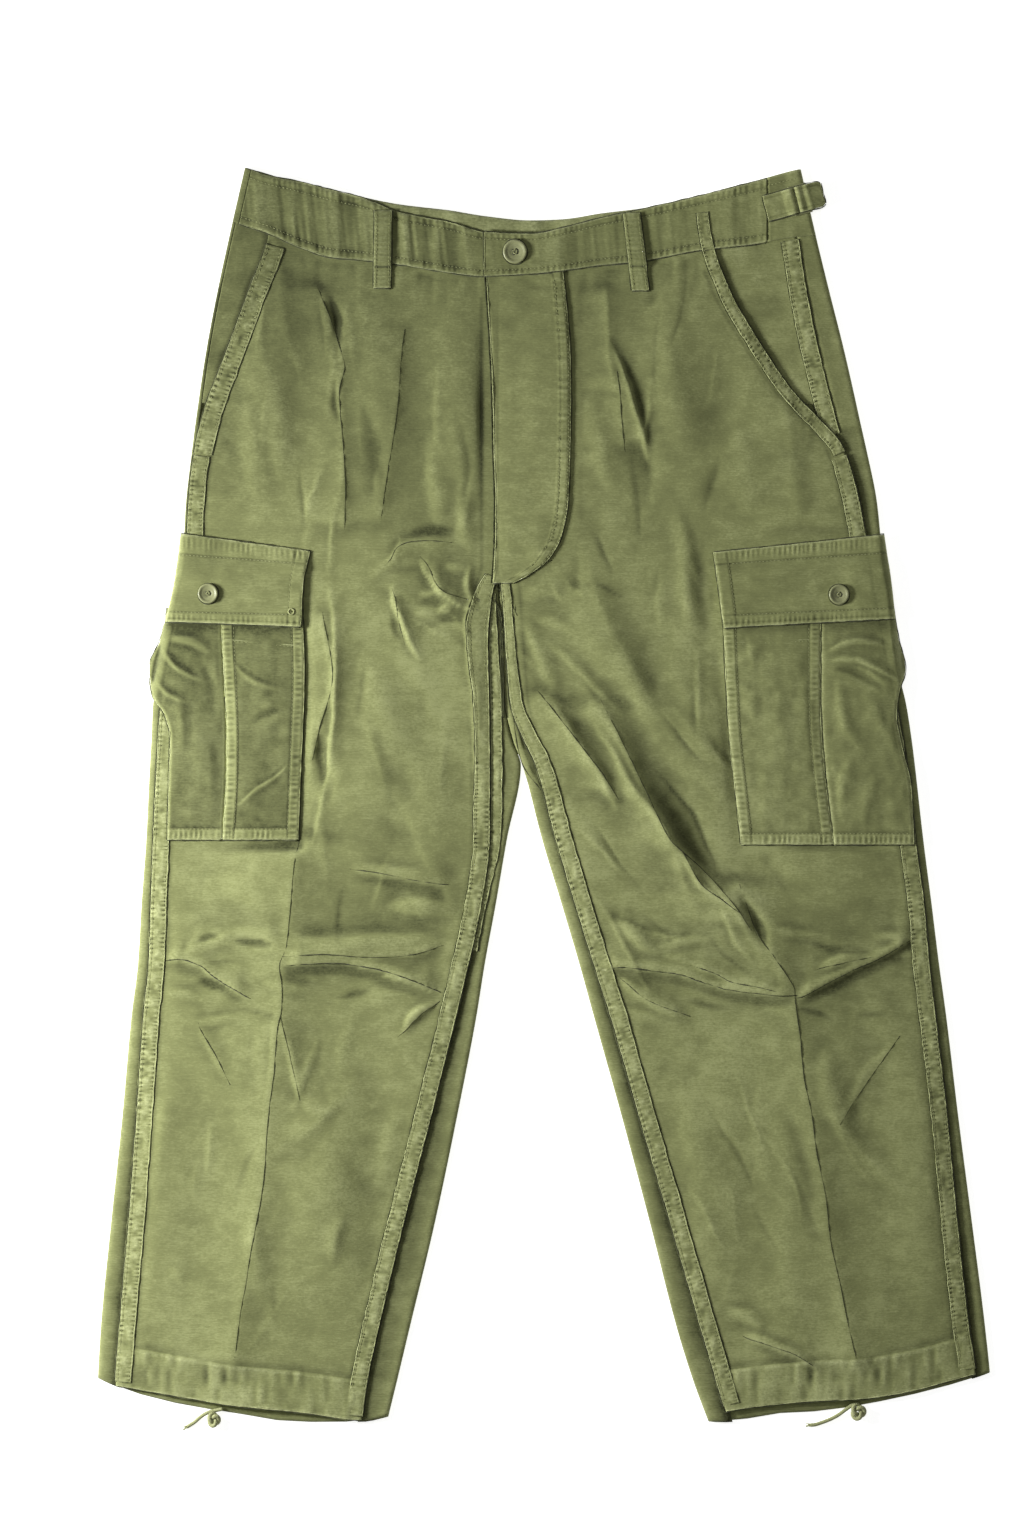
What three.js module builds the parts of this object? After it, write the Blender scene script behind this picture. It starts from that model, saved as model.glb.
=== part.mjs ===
// Cargo trousers in cotton twill, laid flat on a table with the front side up.
// Millimetres. +X points to the wearer's left, +Y to the waist, +Z up from the table.
// The origin is on the table, under the middle of the garment.
// Right and left are the wearer's own.
import * as THREE from 'three';

// Cloth, in millimetres
const CLOTH = 1.2;
const BAND_CLOTH = 2;
const STRAP_CLOTH = 1.6;
const GAP = 0.3;

// The back panels lie on the table and roll round the legs' edges onto the top
const ROLL_HEIGHT = 3.4;
const ROLL_WIDTH = 5;
const SEAM_LAP = 3;
const TIP = 0.8;
const FRONT_LEVEL = ROLL_HEIGHT + GAP + CLOTH;

// The front panels bow up a little between their seams
const BOW = 1.3;
const SEAM_RISE = 0.8;
const SEAM_BAND = 13;
const SEAM_LIP = 1.2;
const HEM_DEPTH = 33;
const HEM_LEVEL = -495;
const WAIST_LEVEL = 448;
const CROTCH_LEVEL = 170;
const CREASE_SHARE = 0.44;

// The waistband steps down from the panels under it to the mouth of the waist
const BAND_LEVEL = FRONT_LEVEL + GAP;
const BAND_DROP = 1;
const BAND_END_LEVEL = ROLL_HEIGHT - GAP;
const BAND_ROLL = 5;
const BAND_TURN = 3;
const FLY_END = -49;
const UNDERLAP_END = 5;

// Pockets and flaps
const POCKET_BORDER = 9;
const BORDER_RISE = 0.5;
const POCKET_PUFF = 1.6;
const POCKET_TOP = 154;
const FLAP_LIFT = CLOTH + BORDER_RISE + GAP + 0.1;

// Buttons
const WAIST_BUTTON = 19.7;
const FLAP_BUTTON = 16.5;
const BUTTON_THICKNESS = 2.6;

// The legs, a row for each height: the folded outer edge, the side seam, the front
// panel's outer edge, its inner edge, and the folded edge at the fork of the legs
const RIGHT_LEG = [
  { y: 515, edge: -245, seam: -242.5, front: -222, inseam: -37.4, fork: -37.2 },
  { y: 458, edge: -258, seam: -255.5, front: -225.8, inseam: -37.4, fork: -37.2 },
  { y: 414, edge: -267.5, seam: -265, front: -241.1, inseam: -37.4, fork: -37.2 },
  { y: 365, edge: -276.8, seam: -274.3, front: -259.1, inseam: -37.4, fork: -37.2 },
  { y: 314, edge: -284.5, seam: -281.5, front: -278, inseam: -37.4, fork: -37.2 },
  { y: 285, edge: -288.3, seam: -285.3, front: -285.3, inseam: -37.4, fork: -37.2 },
  { y: 240, edge: -293.5, seam: -290.5, front: -290.5, inseam: -37.4, fork: -37.2 },
  { y: 190, edge: -296.5, seam: -293, front: -293, inseam: -37.4, fork: -37.2 },
  { y: 165, edge: -302.5, seam: -298.5, front: -298.5, inseam: -43, fork: -37.1 },
  { y: 128, edge: -309.5, seam: -305, front: -305, inseam: -46.5, fork: -35.4 },
  { y: 100, edge: -315, seam: -309.5, front: -309.5, inseam: -46.3, fork: -33.8 },
  { y: 74, edge: -320.5, seam: -313.5, front: -313.5, inseam: -45.5, fork: -32.2 },
  { y: 45, edge: -321.8, seam: -315.3, front: -315.3, inseam: -45.2, fork: -26.2 },
  { y: 25, edge: -323, seam: -316.5, front: -316.5, inseam: -45, fork: -18.9 },
  { y: -36, edge: -326, seam: -319.3, front: -319.3, inseam: -45.2, fork: -30.4 },
  { y: -88, edge: -329.8, seam: -321.3, front: -321.3, inseam: -51.8, fork: -39.3 },
  { y: -138, edge: -332.8, seam: -323, front: -323, inseam: -62.5, fork: -48.5 },
  { y: -180, edge: -338, seam: -327.3, front: -327.3, inseam: -72.5, fork: -55.2 },
  { y: -264, edge: -345.7, seam: -333, front: -333, inseam: -93.5, fork: -71.4 },
  { y: -350, edge: -354.8, seam: -339.5, front: -339.5, inseam: -115.5, fork: -89.4 },
  { y: -436, edge: -363.2, seam: -347, front: -347, inseam: -136, fork: -110 },
  { y: -480, edge: -365.7, seam: -350.5, front: -350.5, inseam: -145.5, fork: -120.5 },
  { y: -520, edge: -367, seam: -352, front: -352, inseam: -150.5, fork: -130.3 },
];
const LEFT_LEG = [
  { y: 515, edge: 210, seam: 196, front: 130, inseam: -36.6, fork: -36.8 },
  { y: 458, edge: 223, seam: 207.5, front: 136.3, inseam: -36.6, fork: -36.8 },
  { y: 414, edge: 233.7, seam: 214.5, front: 151.5, inseam: -36.6, fork: -36.8 },
  { y: 365, edge: 246, seam: 224.5, front: 179.8, inseam: -36.6, fork: -36.8 },
  { y: 330, edge: 254, seam: 233, front: 204, inseam: -36.6, fork: -36.8 },
  { y: 305, edge: 259.5, seam: 239.5, front: 228, inseam: -36.6, fork: -36.8 },
  { y: 285, edge: 264, seam: 244.5, front: 244.5, inseam: -36.6, fork: -36.8 },
  { y: 240, edge: 273, seam: 257.5, front: 257.5, inseam: -36.6, fork: -36.8 },
  { y: 190, edge: 278, seam: 266.5, front: 266.5, inseam: -36.6, fork: -36.8 },
  { y: 165, edge: 282, seam: 270.5, front: 270.5, inseam: -33.5, fork: -36.7 },
  { y: 128, edge: 286.5, seam: 277, front: 277, inseam: -31, fork: -35 },
  { y: 100, edge: 291, seam: 282.5, front: 282.5, inseam: -29, fork: -33.4 },
  { y: 74, edge: 297, seam: 288, front: 288, inseam: -26.5, fork: -31.8 },
  { y: 45, edge: 301.5, seam: 293.3, front: 293.3, inseam: -15.5, fork: -25.2 },
  { y: 25, edge: 304, seam: 296.5, front: 296.5, inseam: -6, fork: -17.6 },
  { y: -36, edge: 310.9, seam: 303.5, front: 303.5, inseam: 10.5, fork: -1.5 },
  { y: -88, edge: 317.6, seam: 310.5, front: 310.5, inseam: 26, fork: 14.2 },
  { y: -138, edge: 323.8, seam: 314.8, front: 314.8, inseam: 41.5, fork: 29 },
  { y: -180, edge: 329.6, seam: 319.7, front: 319.7, inseam: 55, fork: 40.6 },
  { y: -264, edge: 339.7, seam: 329.6, front: 329.6, inseam: 79, fork: 64 },
  { y: -350, edge: 350.8, seam: 337.8, front: 337.8, inseam: 104.3, fork: 86.8 },
  { y: -436, edge: 361.6, seam: 347.3, front: 347.3, inseam: 129, fork: 108.8 },
  { y: -480, edge: 366, seam: 354, front: 354, inseam: 142, fork: 122.5 },
  { y: -520, edge: 368, seam: 357, front: 357, inseam: 153.5, fork: 137.5 },
];

// The waist, a row for each place across: the back band's top edge, the front band's
// top edge in front of it, and the seam under the bands
const WAIST = [
  { x: -262, back: 518.5, front: 518, seam: 472.5 },
  { x: -245, back: 514.5, front: 514, seam: 466.8 },
  { x: -225, back: 508, front: 507.4, seam: 460 },
  { x: -200, back: 503.1, front: 502.5, seam: 448.9 },
  { x: -175, back: 496.5, front: 495.9, seam: 440.8 },
  { x: -150, back: 490.6, front: 489.8, seam: 438.5 },
  { x: -118, back: 484.2, front: 477.6, seam: 434.8 },
  { x: -77, back: 479.3, front: 469.4, seam: 428.2 },
  { x: -48, back: 474.6, front: 461.2, seam: 425.2 },
  { x: -11, back: 471.1, front: 459.6, seam: 427 },
  { x: 15, back: 472, front: 464.5, seam: 429.6 },
  { x: 46, back: 476.8, front: 472.7, seam: 434.2 },
  { x: 79, back: 480.9, front: 479.6, seam: 437.5 },
  { x: 128, back: 491.6, front: 491, seam: 446.5 },
  { x: 169, back: 502.2, front: 501.6, seam: 451.2 },
  { x: 209, back: 512.9, front: 512.3, seam: 458 },
  { x: 230, back: 516, front: 515.4, seam: 459.5 },
];

// The hems, a row for each place across
const RIGHT_HEM = [
  { x: -368, front: -479, back: -476 },
  { x: -352, front: -482.6, back: -483.5 },
  { x: -315, front: -489.1, back: -495 },
  { x: -282, front: -494.9, back: -501.5 },
  { x: -256, front: -499, back: -505.6 },
  { x: -200, front: -504.7, back: -513.4 },
  { x: -148, front: -511.3, back: -513 },
  { x: -128, front: -511.5, back: -509 },
];
const LEFT_HEM = [
  { x: 134, front: -507, back: -512.9 },
  { x: 150, front: -503.9, back: -513.4 },
  { x: 185, front: -499, back: -506.8 },
  { x: 235, front: -494.9, back: -503.9 },
  { x: 251, front: -494.5, back: -501 },
  { x: 292, front: -489.1, back: -493.2 },
  { x: 354, front: -473.5, back: -476.8 },
  { x: 368, front: -470.5, back: -471.7 },
];

// The largest folds of the front panels, from one end to the other: how far the
// middle bends to the left of that way, the height of the ridge, and its half width
const RIGHT_FOLDS = [
  { x0: -184, y0: 413, x1: -163, y1: 226, bend: 11, height: 2.6, width: 9 },
  { x0: -117, y0: 370, x1: -134, y1: 226, bend: 3, height: 2.2, width: 8 },
  { x0: -178, y0: 142, x1: -190, y1: -36, bend: 7, height: 2.4, width: 9 },
  { x0: -126, y0: 192, x1: -77, y1: 208, bend: 8, height: 1.8, width: 8 },
  { x0: -95, y0: 188, x1: -61, y1: 158, bend: -6, height: 2, width: 7 },
  { x0: -121, y0: 162, x1: -100, y1: 122, bend: -4, height: 1.6, width: 8 },
  { x0: -159, y0: -60, x1: -77, y1: -71, bend: 0, height: 1.5, width: 9 },
  { x0: -212, y0: -138, x1: -88, y1: -156, bend: 6, height: 3, width: 9 },
  { x0: -212, y0: -120, x1: -86, y1: -116, bend: -3, height: 1.5, width: 8 },
  { x0: -294, y0: -136, x1: -216, y1: -130, bend: 9, height: 2.2, width: 8 },
  { x0: -309, y0: -142, x1: -242, y1: -172, bend: 3, height: 1.8, width: 8 },
  { x0: -204, y0: -46, x1: -254, y1: -474, bend: 4, height: 2, width: 9 },
];
const LEFT_FOLDS = [
  { x0: 52, y0: 407, x1: 55, y1: 352, bend: 0, height: 1.5, width: 9 },
  { x0: 58, y0: 356, x1: 82, y1: 292, bend: 2, height: 1.6, width: 9 },
  { x0: 5, y0: 74, x1: 48, y1: 2, bend: 3, height: 1.6, width: 9 },
  { x0: 62, y0: 40, x1: 150, y1: -88, bend: -6, height: 2.2, width: 10 },
  { x0: 159, y0: -70, x1: 204, y1: -162, bend: 0, height: 1.8, width: 9 },
  { x0: 204, y0: -160, x1: 256, y1: -468, bend: -3, height: 2.2, width: 9 },
  { x0: 112, y0: -134, x1: 196, y1: -158, bend: 3, height: 2.6, width: 8 },
  { x0: 50, y0: -152, x1: 196, y1: -174, bend: 2, height: 1.6, width: 8 },
  { x0: 206, y0: -158, x1: 301, y1: -112, bend: -4, height: 2.6, width: 9 },
  { x0: 244, y0: -158, x1: 296, y1: -144, bend: -2, height: 1.5, width: 8 },
];

// Fly strip, a row for each height: its left edge, and the J-stitch at its right
const FLY = [
  { y: 430, left: -47.5, right: 15.5 },
  { y: 406, left: -46, right: 18 },
  { y: 365, left: -43.5, right: 21.3 },
  { y: 324, left: -41.8, right: 22.1 },
  { y: 283, left: -41, right: 21.3 },
  { y: 242, left: -39.6, right: 19.7 },
  { y: 214, left: -39.8, right: 14.8 },
  { y: 193, left: -40.6, right: 3.3 },
  { y: 181, left: -41.4, right: -12 },
  { y: 173, left: -42, right: -27 },
];

// Cargo pockets, a row for each height: the aft edge, the pleat and the fore edge
const RIGHT_POCKET = [
  { y: 154, aft: -308.5, pleat: -264, fore: -197.6 },
  { y: 129, aft: -314, pleat: -263.6, fore: -196.4 },
  { y: 104, aft: -323.5, pleat: -262.2, fore: -195.8 },
  { y: 82, aft: -320.5, pleat: -261, fore: -196 },
  { y: 66, aft: -310.5, pleat: -260.2, fore: -196.6 },
  { y: 48, aft: -306, pleat: -259.8, fore: -197.4 },
  { y: 20, aft: -306.8, pleat: -260, fore: -198.6 },
  { y: -36, aft: -308.4, pleat: -263.2, fore: -200.9 },
];
const LEFT_POCKET = [
  { y: 154, aft: 286.2, pleat: 226.3, fore: 145.6 },
  { y: 129, aft: 290.3, pleat: 226.3, fore: 147 },
  { y: 104, aft: 296.3, pleat: 226.3, fore: 148 },
  { y: 86, aft: 291, pleat: 226.3, fore: 149 },
  { y: 66, aft: 288.5, pleat: 226.5, fore: 150 },
  { y: 40, aft: 293, pleat: 228, fore: 152 },
  { y: 8, aft: 300.5, pleat: 231, fore: 155.6 },
  { y: -40, aft: 302.8, pleat: 237, fore: 161 },
];

// Flaps: the two ends, each from the top corner down to the bottom corner
const RIGHT_FLAP = {
  outer: [{ x: -297.7, y: 214.4 }, { x: -303.5, y: 172 }, { x: -310, y: 142.6 }],
  inner: [{ x: -191.5, y: 200 }, { x: -197, y: 172 }, { x: -198.8, y: 138.2 }],
};
const LEFT_FLAP = {
  outer: [{ x: 278.8, y: 213.6 }, { x: 284.5, y: 176 }, { x: 287.8, y: 145 }],
  inner: [{ x: 138.6, y: 198.9 }, { x: 142.4, y: 172 }, { x: 146.8, y: 137.4 }],
};

// Drawstring ends that lie out of the hems: the routes of their middles
const CORD_DIAMETER = 3;
const RIGHT_CORD = [
  [-263.5, -502.5, 3.1],
  [-268, -503.5, 3.1],
  [-273, -504.6, 3.1],
  [-278, -506.8, 3],
  [-282.5, -510, 2.3],
  [-286.5, -513.6, 1.7],
  [-292.5, -517.4, 1.6],
];
const LEFT_CORD = [
  [254, -498.6, 3.1],
  [250, -501, 3.1],
  [245.5, -504.4, 2.9],
  [240.5, -508, 2.1],
  [235, -511, 1.7],
  [229, -513.4, 1.6],
  [223, -515.4, 1.6],
  [218.5, -516, 1.6],
];
const KNOT_RADIUS = 5;
const RIGHT_KNOT = [-270.5, -511.2];
const LEFT_KNOT = [257.75, -504.5];

// Helpers for numbers
const clamp = (value) => Math.min(1, Math.max(0, value));
const mix = (from, to, share) => from + (to - from) * share;
function smooth(from, to, value) {
  const share = clamp((value - from) / (to - from));
  return share * share * (3 - 2 * share);
}
function steps(from, to, step) {
  const count = Math.max(1, Math.round(Math.abs(to - from) / step));
  return Array.from({ length: count }, (_, i) => mix(from, to, i / count));
}

// Reads a column of a table on a smooth curve through its rows that never overshoots
function read(table, along, name, value) {
  const rows = [...table].sort((a, b) => a[along] - b[along]);
  const last = rows.length - 1;
  const slope = (i) => (rows[i + 1][name] - rows[i][name]) / (rows[i + 1][along] - rows[i][along]);
  if (value <= rows[0][along]) return rows[0][name] + slope(0) * (value - rows[0][along]);
  if (value >= rows[last][along]) {
    return rows[last][name] + slope(last - 1) * (value - rows[last][along]);
  }
  const i = rows.findIndex((row, k) => k < last && value <= rows[k + 1][along]);
  const tangent = (k) => {
    if (k === 0) return slope(0);
    if (k === last) return slope(last - 1);
    const before = slope(k - 1);
    const after = slope(k);
    return before * after <= 0 ? 0 : (2 * before * after) / (before + after);
  };
  const width = rows[i + 1][along] - rows[i][along];
  const t = (value - rows[i][along]) / width;
  const t2 = t * t;
  const t3 = t2 * t;
  return rows[i][name] * (2 * t3 - 3 * t2 + 1) + rows[i + 1][name] * (3 * t2 - 2 * t3)
    + width * (tangent(i) * (t3 - 2 * t2 + t) + tangent(i + 1) * (t3 - t2));
}
const waistAt = (name, x) => read(WAIST, 'x', name, x);

// Moves a level to a slanted line, and finds where a column crosses it
function settle(level, placeAt, shiftAt) {
  let y = level;
  for (let pass = 0; pass < 4; pass += 1) y = level + shiftAt(placeAt(y));
  return [placeAt(y), y];
}

// Closes the space between two grids of points into one solid
function shell(outer, inner) {
  const rows = outer.length;
  const columns = outer[0].length;
  const points = [...outer.flat(), ...inner.flat()];
  const faces = [];
  const quad = (a, b, c, d) => faces.push([a, b, c], [a, c, d]);
  const top = (i, j) => i * columns + j;
  const under = (i, j) => (rows + i) * columns + j;
  for (let i = 0; i < rows - 1; i += 1) {
    for (let j = 0; j < columns - 1; j += 1) {
      quad(top(i, j), top(i, j + 1), top(i + 1, j + 1), top(i + 1, j));
      quad(under(i, j), under(i + 1, j), under(i + 1, j + 1), under(i, j + 1));
    }
  }
  for (let j = 0; j < columns - 1; j += 1) {
    quad(top(0, j), under(0, j), under(0, j + 1), top(0, j + 1));
    quad(top(rows - 1, j), top(rows - 1, j + 1), under(rows - 1, j + 1), under(rows - 1, j));
  }
  for (let i = 0; i < rows - 1; i += 1) {
    quad(top(i, 0), top(i + 1, 0), under(i + 1, 0), under(i, 0));
    quad(top(i, columns - 1), under(i, columns - 1), under(i + 1, columns - 1), top(i + 1, columns - 1));
  }
  const vectors = points.map((point) => new THREE.Vector3(...point));
  const volume = faces.reduce((sum, [a, b, c]) => (
    sum + vectors[a].dot(new THREE.Vector3().crossVectors(vectors[b], vectors[c]))), 0);
  const outward = volume > 0 ? faces : faces.map(([a, b, c]) => [a, c, b]);
  const geometry = new THREE.BufferGeometry();
  geometry.setAttribute('position', new THREE.Float32BufferAttribute(points.flat(), 3));
  geometry.setIndex(outward.flat());
  geometry.computeVertexNormals();
  return geometry;
}

// A patch that lies over others: its lower face, and a wall straight up from it
function patch(lower, wallAt) {
  const upper = lower.map((row, i) => row.map(([x, y, z], j) => [x, y, z + wallAt(i, j)]));
  return shell(upper, lower);
}

// A sheet whose sections turn over: the wall goes inwards, square to each section
function turned(outer, wall) {
  const inner = outer.map((row) => row.map(([x, y, z], j) => {
    const before = row[Math.max(0, j - 1)];
    const after = row[Math.min(row.length - 1, j + 1)];
    const along = Math.hypot(after[0] - before[0], after[2] - before[2]);
    const inX = -(after[2] - before[2]) / along;
    const inZ = (after[0] - before[0]) / along;
    return [x + inX * wall, y, z + inZ * wall];
  }));
  return shell(outer, inner);
}

// The height of a fold above its panel: a soft ridge along an arc, fading at both ends
function foldHeight(fold, x, y) {
  const length = Math.hypot(fold.x1 - fold.x0, fold.y1 - fold.y0);
  const alongX = (fold.x1 - fold.x0) / length;
  const alongY = (fold.y1 - fold.y0) / length;
  const share = ((x - fold.x0) * alongX + (y - fold.y0) * alongY) / length;
  if (share <= 0 || share >= 1) return 0;
  const aside = (y - fold.y0) * alongX - (x - fold.x0) * alongY;
  const distance = (aside - fold.bend * 4 * share * (1 - share)) / fold.width;
  return fold.height * Math.exp(-distance * distance) * Math.sin(Math.PI * share) ** 0.7;
}

// One leg with its tables, and the way from its outer edge to its inner one
const RIGHT = {
  leg: RIGHT_LEG, hem: RIGHT_HEM, folds: RIGHT_FOLDS, pocket: RIGHT_POCKET, flap: RIGHT_FLAP, inward: 1,
};
const LEFT = {
  leg: LEFT_LEG, hem: LEFT_HEM, folds: LEFT_FOLDS, pocket: LEFT_POCKET, flap: LEFT_FLAP, inward: -1,
};
const legAt = (side, name, y) => read(side.leg, 'y', name, y);

// Top of a front panel: its level, the bow between its seams, and its folds
function frontHeight(side, x, y) {
  const outer = legAt(side, 'front', y);
  const inner = legAt(side, 'inseam', y);
  const share = clamp((x - outer) / (inner - outer));
  const waist = smooth(WAIST_LEVEL - 20, WAIST_LEVEL - 90, y);
  const bow = BOW * Math.sqrt(4 * share * (1 - share)) * waist;
  const margin = Math.min(Math.abs(x - outer), Math.abs(x - inner));
  const relief = side.folds.reduce((sum, fold) => sum + foldHeight(fold, x, y), 0);
  return FRONT_LEVEL + bow + relief * smooth(2, SEAM_BAND * 1.6, margin);
}

// A front panel, from under the waistband to the hem
function frontPanel(side) {
  const heights = [
    WAIST_LEVEL + SEAM_LAP,
    WAIST_LEVEL - 1.5,
    ...steps(WAIST_LEVEL - 4, 200, 25),
    ...steps(200, 150, 12),
    ...steps(150, -100, 28),
    ...steps(-100, -184, 12),
    ...steps(-184, HEM_LEVEL + HEM_DEPTH + 2, 34),
    HEM_LEVEL + HEM_DEPTH + 2,
    HEM_LEVEL + HEM_DEPTH,
    HEM_LEVEL + SEAM_LIP,
    HEM_LEVEL,
  ];
  const crease = [CREASE_SHARE - 0.04, CREASE_SHARE, CREASE_SHARE + 0.04];
  const shares = [0.12, 0.24, 0.34, ...crease, 0.56, 0.68, 0.79, 0.9];
  const margins = [0, SEAM_LIP, SEAM_BAND - SEAM_LIP, SEAM_BAND];
  const place = (column, y) => {
    const outer = legAt(side, 'front', y);
    const inner = legAt(side, 'inseam', y);
    if (column < margins.length) return outer + side.inward * margins[column];
    const share = column - margins.length;
    if (share < shares.length) return mix(outer, inner, shares[share]);
    return inner - side.inward * margins[margins.length - 1 - (share - shares.length)];
  };
  const columns = 2 * margins.length + shares.length;
  const lower = heights.map((level) => Array.from({ length: columns }, (_, j) => {
    const up = smooth(300, WAIST_LEVEL, level);
    const down = smooth(-250, HEM_LEVEL + HEM_DEPTH + 2, level);
    const [x, y] = settle(level, (at) => place(j, at), (at) => (
      (waistAt('seam', at) - WAIST_LEVEL) * up + (read(side.hem, 'x', 'front', at) - HEM_LEVEL) * down));
    return [x, y, frontHeight(side, x, y) - CLOTH];
  }));
  const raisedColumn = (j) => j === 1 || j === 2;
  const wallAt = (i, j) => {
    const fork = heights[i] < CROTCH_LEVEL && raisedColumn(columns - 1 - j);
    const outer = i > 1 && raisedColumn(j);
    const seam = outer || fork ? SEAM_RISE : 0;
    const hem = heights[i] <= HEM_LEVEL + HEM_DEPTH && heights[i] > HEM_LEVEL ? SEAM_RISE : 0;
    return CLOTH + Math.max(seam, hem);
  };
  return patch(lower, wallAt);
}

// One rolled edge, from its end on the top, round the fold, to the table. Open is how
// far the roll is turned: 0 is flat on the table, 1 is a full turn onto the top
function rolledEdge(edge, end, inward, open) {
  const turn = Math.PI * open;
  const width = Math.min(ROLL_WIDTH, 0.8 * Math.abs(end - edge));
  const centre = edge + inward * width;
  const arc = [0, 0.25, 0.5, 0.75, 1].map((share) => {
    const angle = -Math.PI / 2 + turn * share;
    const flat = (1 - open) * (width - TIP) * share;
    return [centre - inward * (width * Math.cos(angle) * open + flat),
      (ROLL_HEIGHT / 2) * (1 + Math.sin(angle))];
  });
  const [tipX, tipZ] = arc[arc.length - 1];
  const reach = open < 1 ? TIP : Math.abs(end - centre);
  const tail = [tipX - inward * Math.cos(turn) * reach, tipZ + Math.sin(turn) * reach];
  return [...arc, tail].reverse();
}

// A back panel: flat on the table, rolled round the outer edge and, below the crotch,
// round the inner edge, with its ends under the front panel's seams
function backPanel(side) {
  const heights = [
    ...steps(WAIST_LEVEL, 318, 33),
    ...steps(318, 188, 33),
    188, 181, 174, 167,
    ...steps(150, 25, 31),
    ...steps(25, -220, 49),
    ...steps(-220, HEM_LEVEL, 55),
    HEM_LEVEL,
  ];
  const flat = [0.14, 0.29, 0.43, 0.57, 0.71, 0.86];
  const section = (y) => {
    const lap = SEAM_LAP * smooth(306, 290, y);
    const edge = legAt(side, 'edge', y);
    const fork = legAt(side, 'fork', y);
    const outerEnd = legAt(side, 'seam', y) + side.inward * lap;
    const innerEnd = legAt(side, 'inseam', y) - side.inward * SEAM_LAP;
    const open = clamp((188 - y) / 21);
    const outer = rolledEdge(edge, outerEnd, side.inward, 1);
    const inner = rolledEdge(fork, innerEnd, -side.inward, open).reverse();
    const from = edge + side.inward * ROLL_WIDTH;
    const to = fork - side.inward * ROLL_WIDTH;
    return [...outer, ...flat.map((share) => [mix(from, to, share), 0]), ...inner];
  };
  const outer = heights.map((level) => section(level).map((_, j) => {
    const up = smooth(300, WAIST_LEVEL, level);
    const down = smooth(-250, HEM_LEVEL, level);
    const [x, y] = settle(level, (at) => section(at)[j][0], (at) => (
      (waistAt('seam', at) - 3 * GAP - WAIST_LEVEL) * up
      + (read(side.hem, 'x', 'back', at) - HEM_LEVEL) * down));
    return [x, y, section(y)[j][1]];
  }));
  const ordered = side.inward > 0 ? outer : outer.map((row) => [...row].reverse());
  return turned(ordered, CLOTH);
}

// The facing behind a slash pocket, between the side seam and the front's turned edge
function pocketFacing(side) {
  const heights = [WAIST_LEVEL, ...steps(WAIST_LEVEL - 20, 320, 22), 320];
  const under = 10;
  const shares = [0, 0.3, 0.7, 1];
  const lower = heights.map((level) => shares.map((share) => {
    const place = (y) => mix(
      legAt(side, 'seam', y) + side.inward * GAP * 1.4,
      legAt(side, 'front', y) + side.inward * under,
      share,
    );
    const up = smooth(300, WAIST_LEVEL, level);
    const [x, y] = settle(level, place, (at) => (waistAt('seam', at) - 3 * GAP - WAIST_LEVEL) * up);
    return [x, y, ROLL_HEIGHT - CLOTH];
  }));
  return patch(lower, () => CLOTH);
}

// The lower face of the front waistband, before the fly end is lifted over the other
function bandFloor(x, y) {
  const over = y - waistAt('seam', x);
  const level = BAND_LEVEL - BAND_DROP * smooth(SEAM_LAP + 0.5, SEAM_LAP + 7, over);
  const right = smooth(-230, -244, x);
  const left = smooth(148, 176, x);
  return mix(level, BAND_END_LEVEL, Math.max(right, left));
}
function frontBand(from, to, count, liftAt) {
  const shares = [0, 0.12, 0.32, 0.9, 1];
  const lower = shares.map((share) => Array.from({ length: count + 1 }, (_, j) => {
    const start = (y) => (from < -200 ? legAt(RIGHT, 'seam', y) + BAND_TURN + GAP * 1.4 : from);
    const place = (y) => mix(start(y), to, j / count);
    const [x, y] = settle(0, place, (at) => mix(waistAt('seam', at), waistAt('front', at), share));
    return [x, y, bandFloor(x, y) + liftAt(x)];
  }));
  const wallAt = (i) => BAND_CLOTH - (i === 0 || i === shares.length - 1 ? 0.5 : 0);
  return patch(lower, wallAt);
}
const flyLift = (x) => (BAND_CLOTH + GAP) * smooth(48, UNDERLAP_END + 4, x);

// The back waistband: on the table across the back, rolled round both sides
function backBand() {
  const shares = [0, 0.3, 0.7, 1];
  const flat = [0.06, 0.14, 0.23, 0.32, 0.41, 0.5, 0.59, 0.68, 0.77, 0.86, 0.94];
  const section = (y) => {
    const right = legAt(RIGHT, 'edge', y);
    const left = legAt(LEFT, 'edge', y);
    const roll = (edge, end, inward) => {
      const arc = [90, 45, 0, -45, -90].map((degrees) => {
        const angle = THREE.MathUtils.degToRad(degrees);
        return [edge + inward * ROLL_WIDTH * (1 - Math.cos(angle)), (BAND_ROLL / 2) * (1 + Math.sin(angle))];
      });
      return [[end, BAND_ROLL], ...arc];
    };
    const start = right + ROLL_WIDTH;
    const finish = left - ROLL_WIDTH;
    return [
      ...roll(right, legAt(RIGHT, 'seam', y) + BAND_TURN, 1),
      ...flat.map((share) => [mix(start, finish, share), 0]),
      ...roll(left, 183, -1).reverse(),
    ];
  };
  const outer = shares.map((share) => section(485).map((_, j) => {
    const heightAt = (at) => mix(waistAt('seam', at), waistAt('back', at), share);
    const [x, y] = settle(0, (at) => section(at)[j][0], heightAt);
    return [x, y, section(y)[j][1]];
  }));
  return turned(outer, BAND_CLOTH);
}

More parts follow.
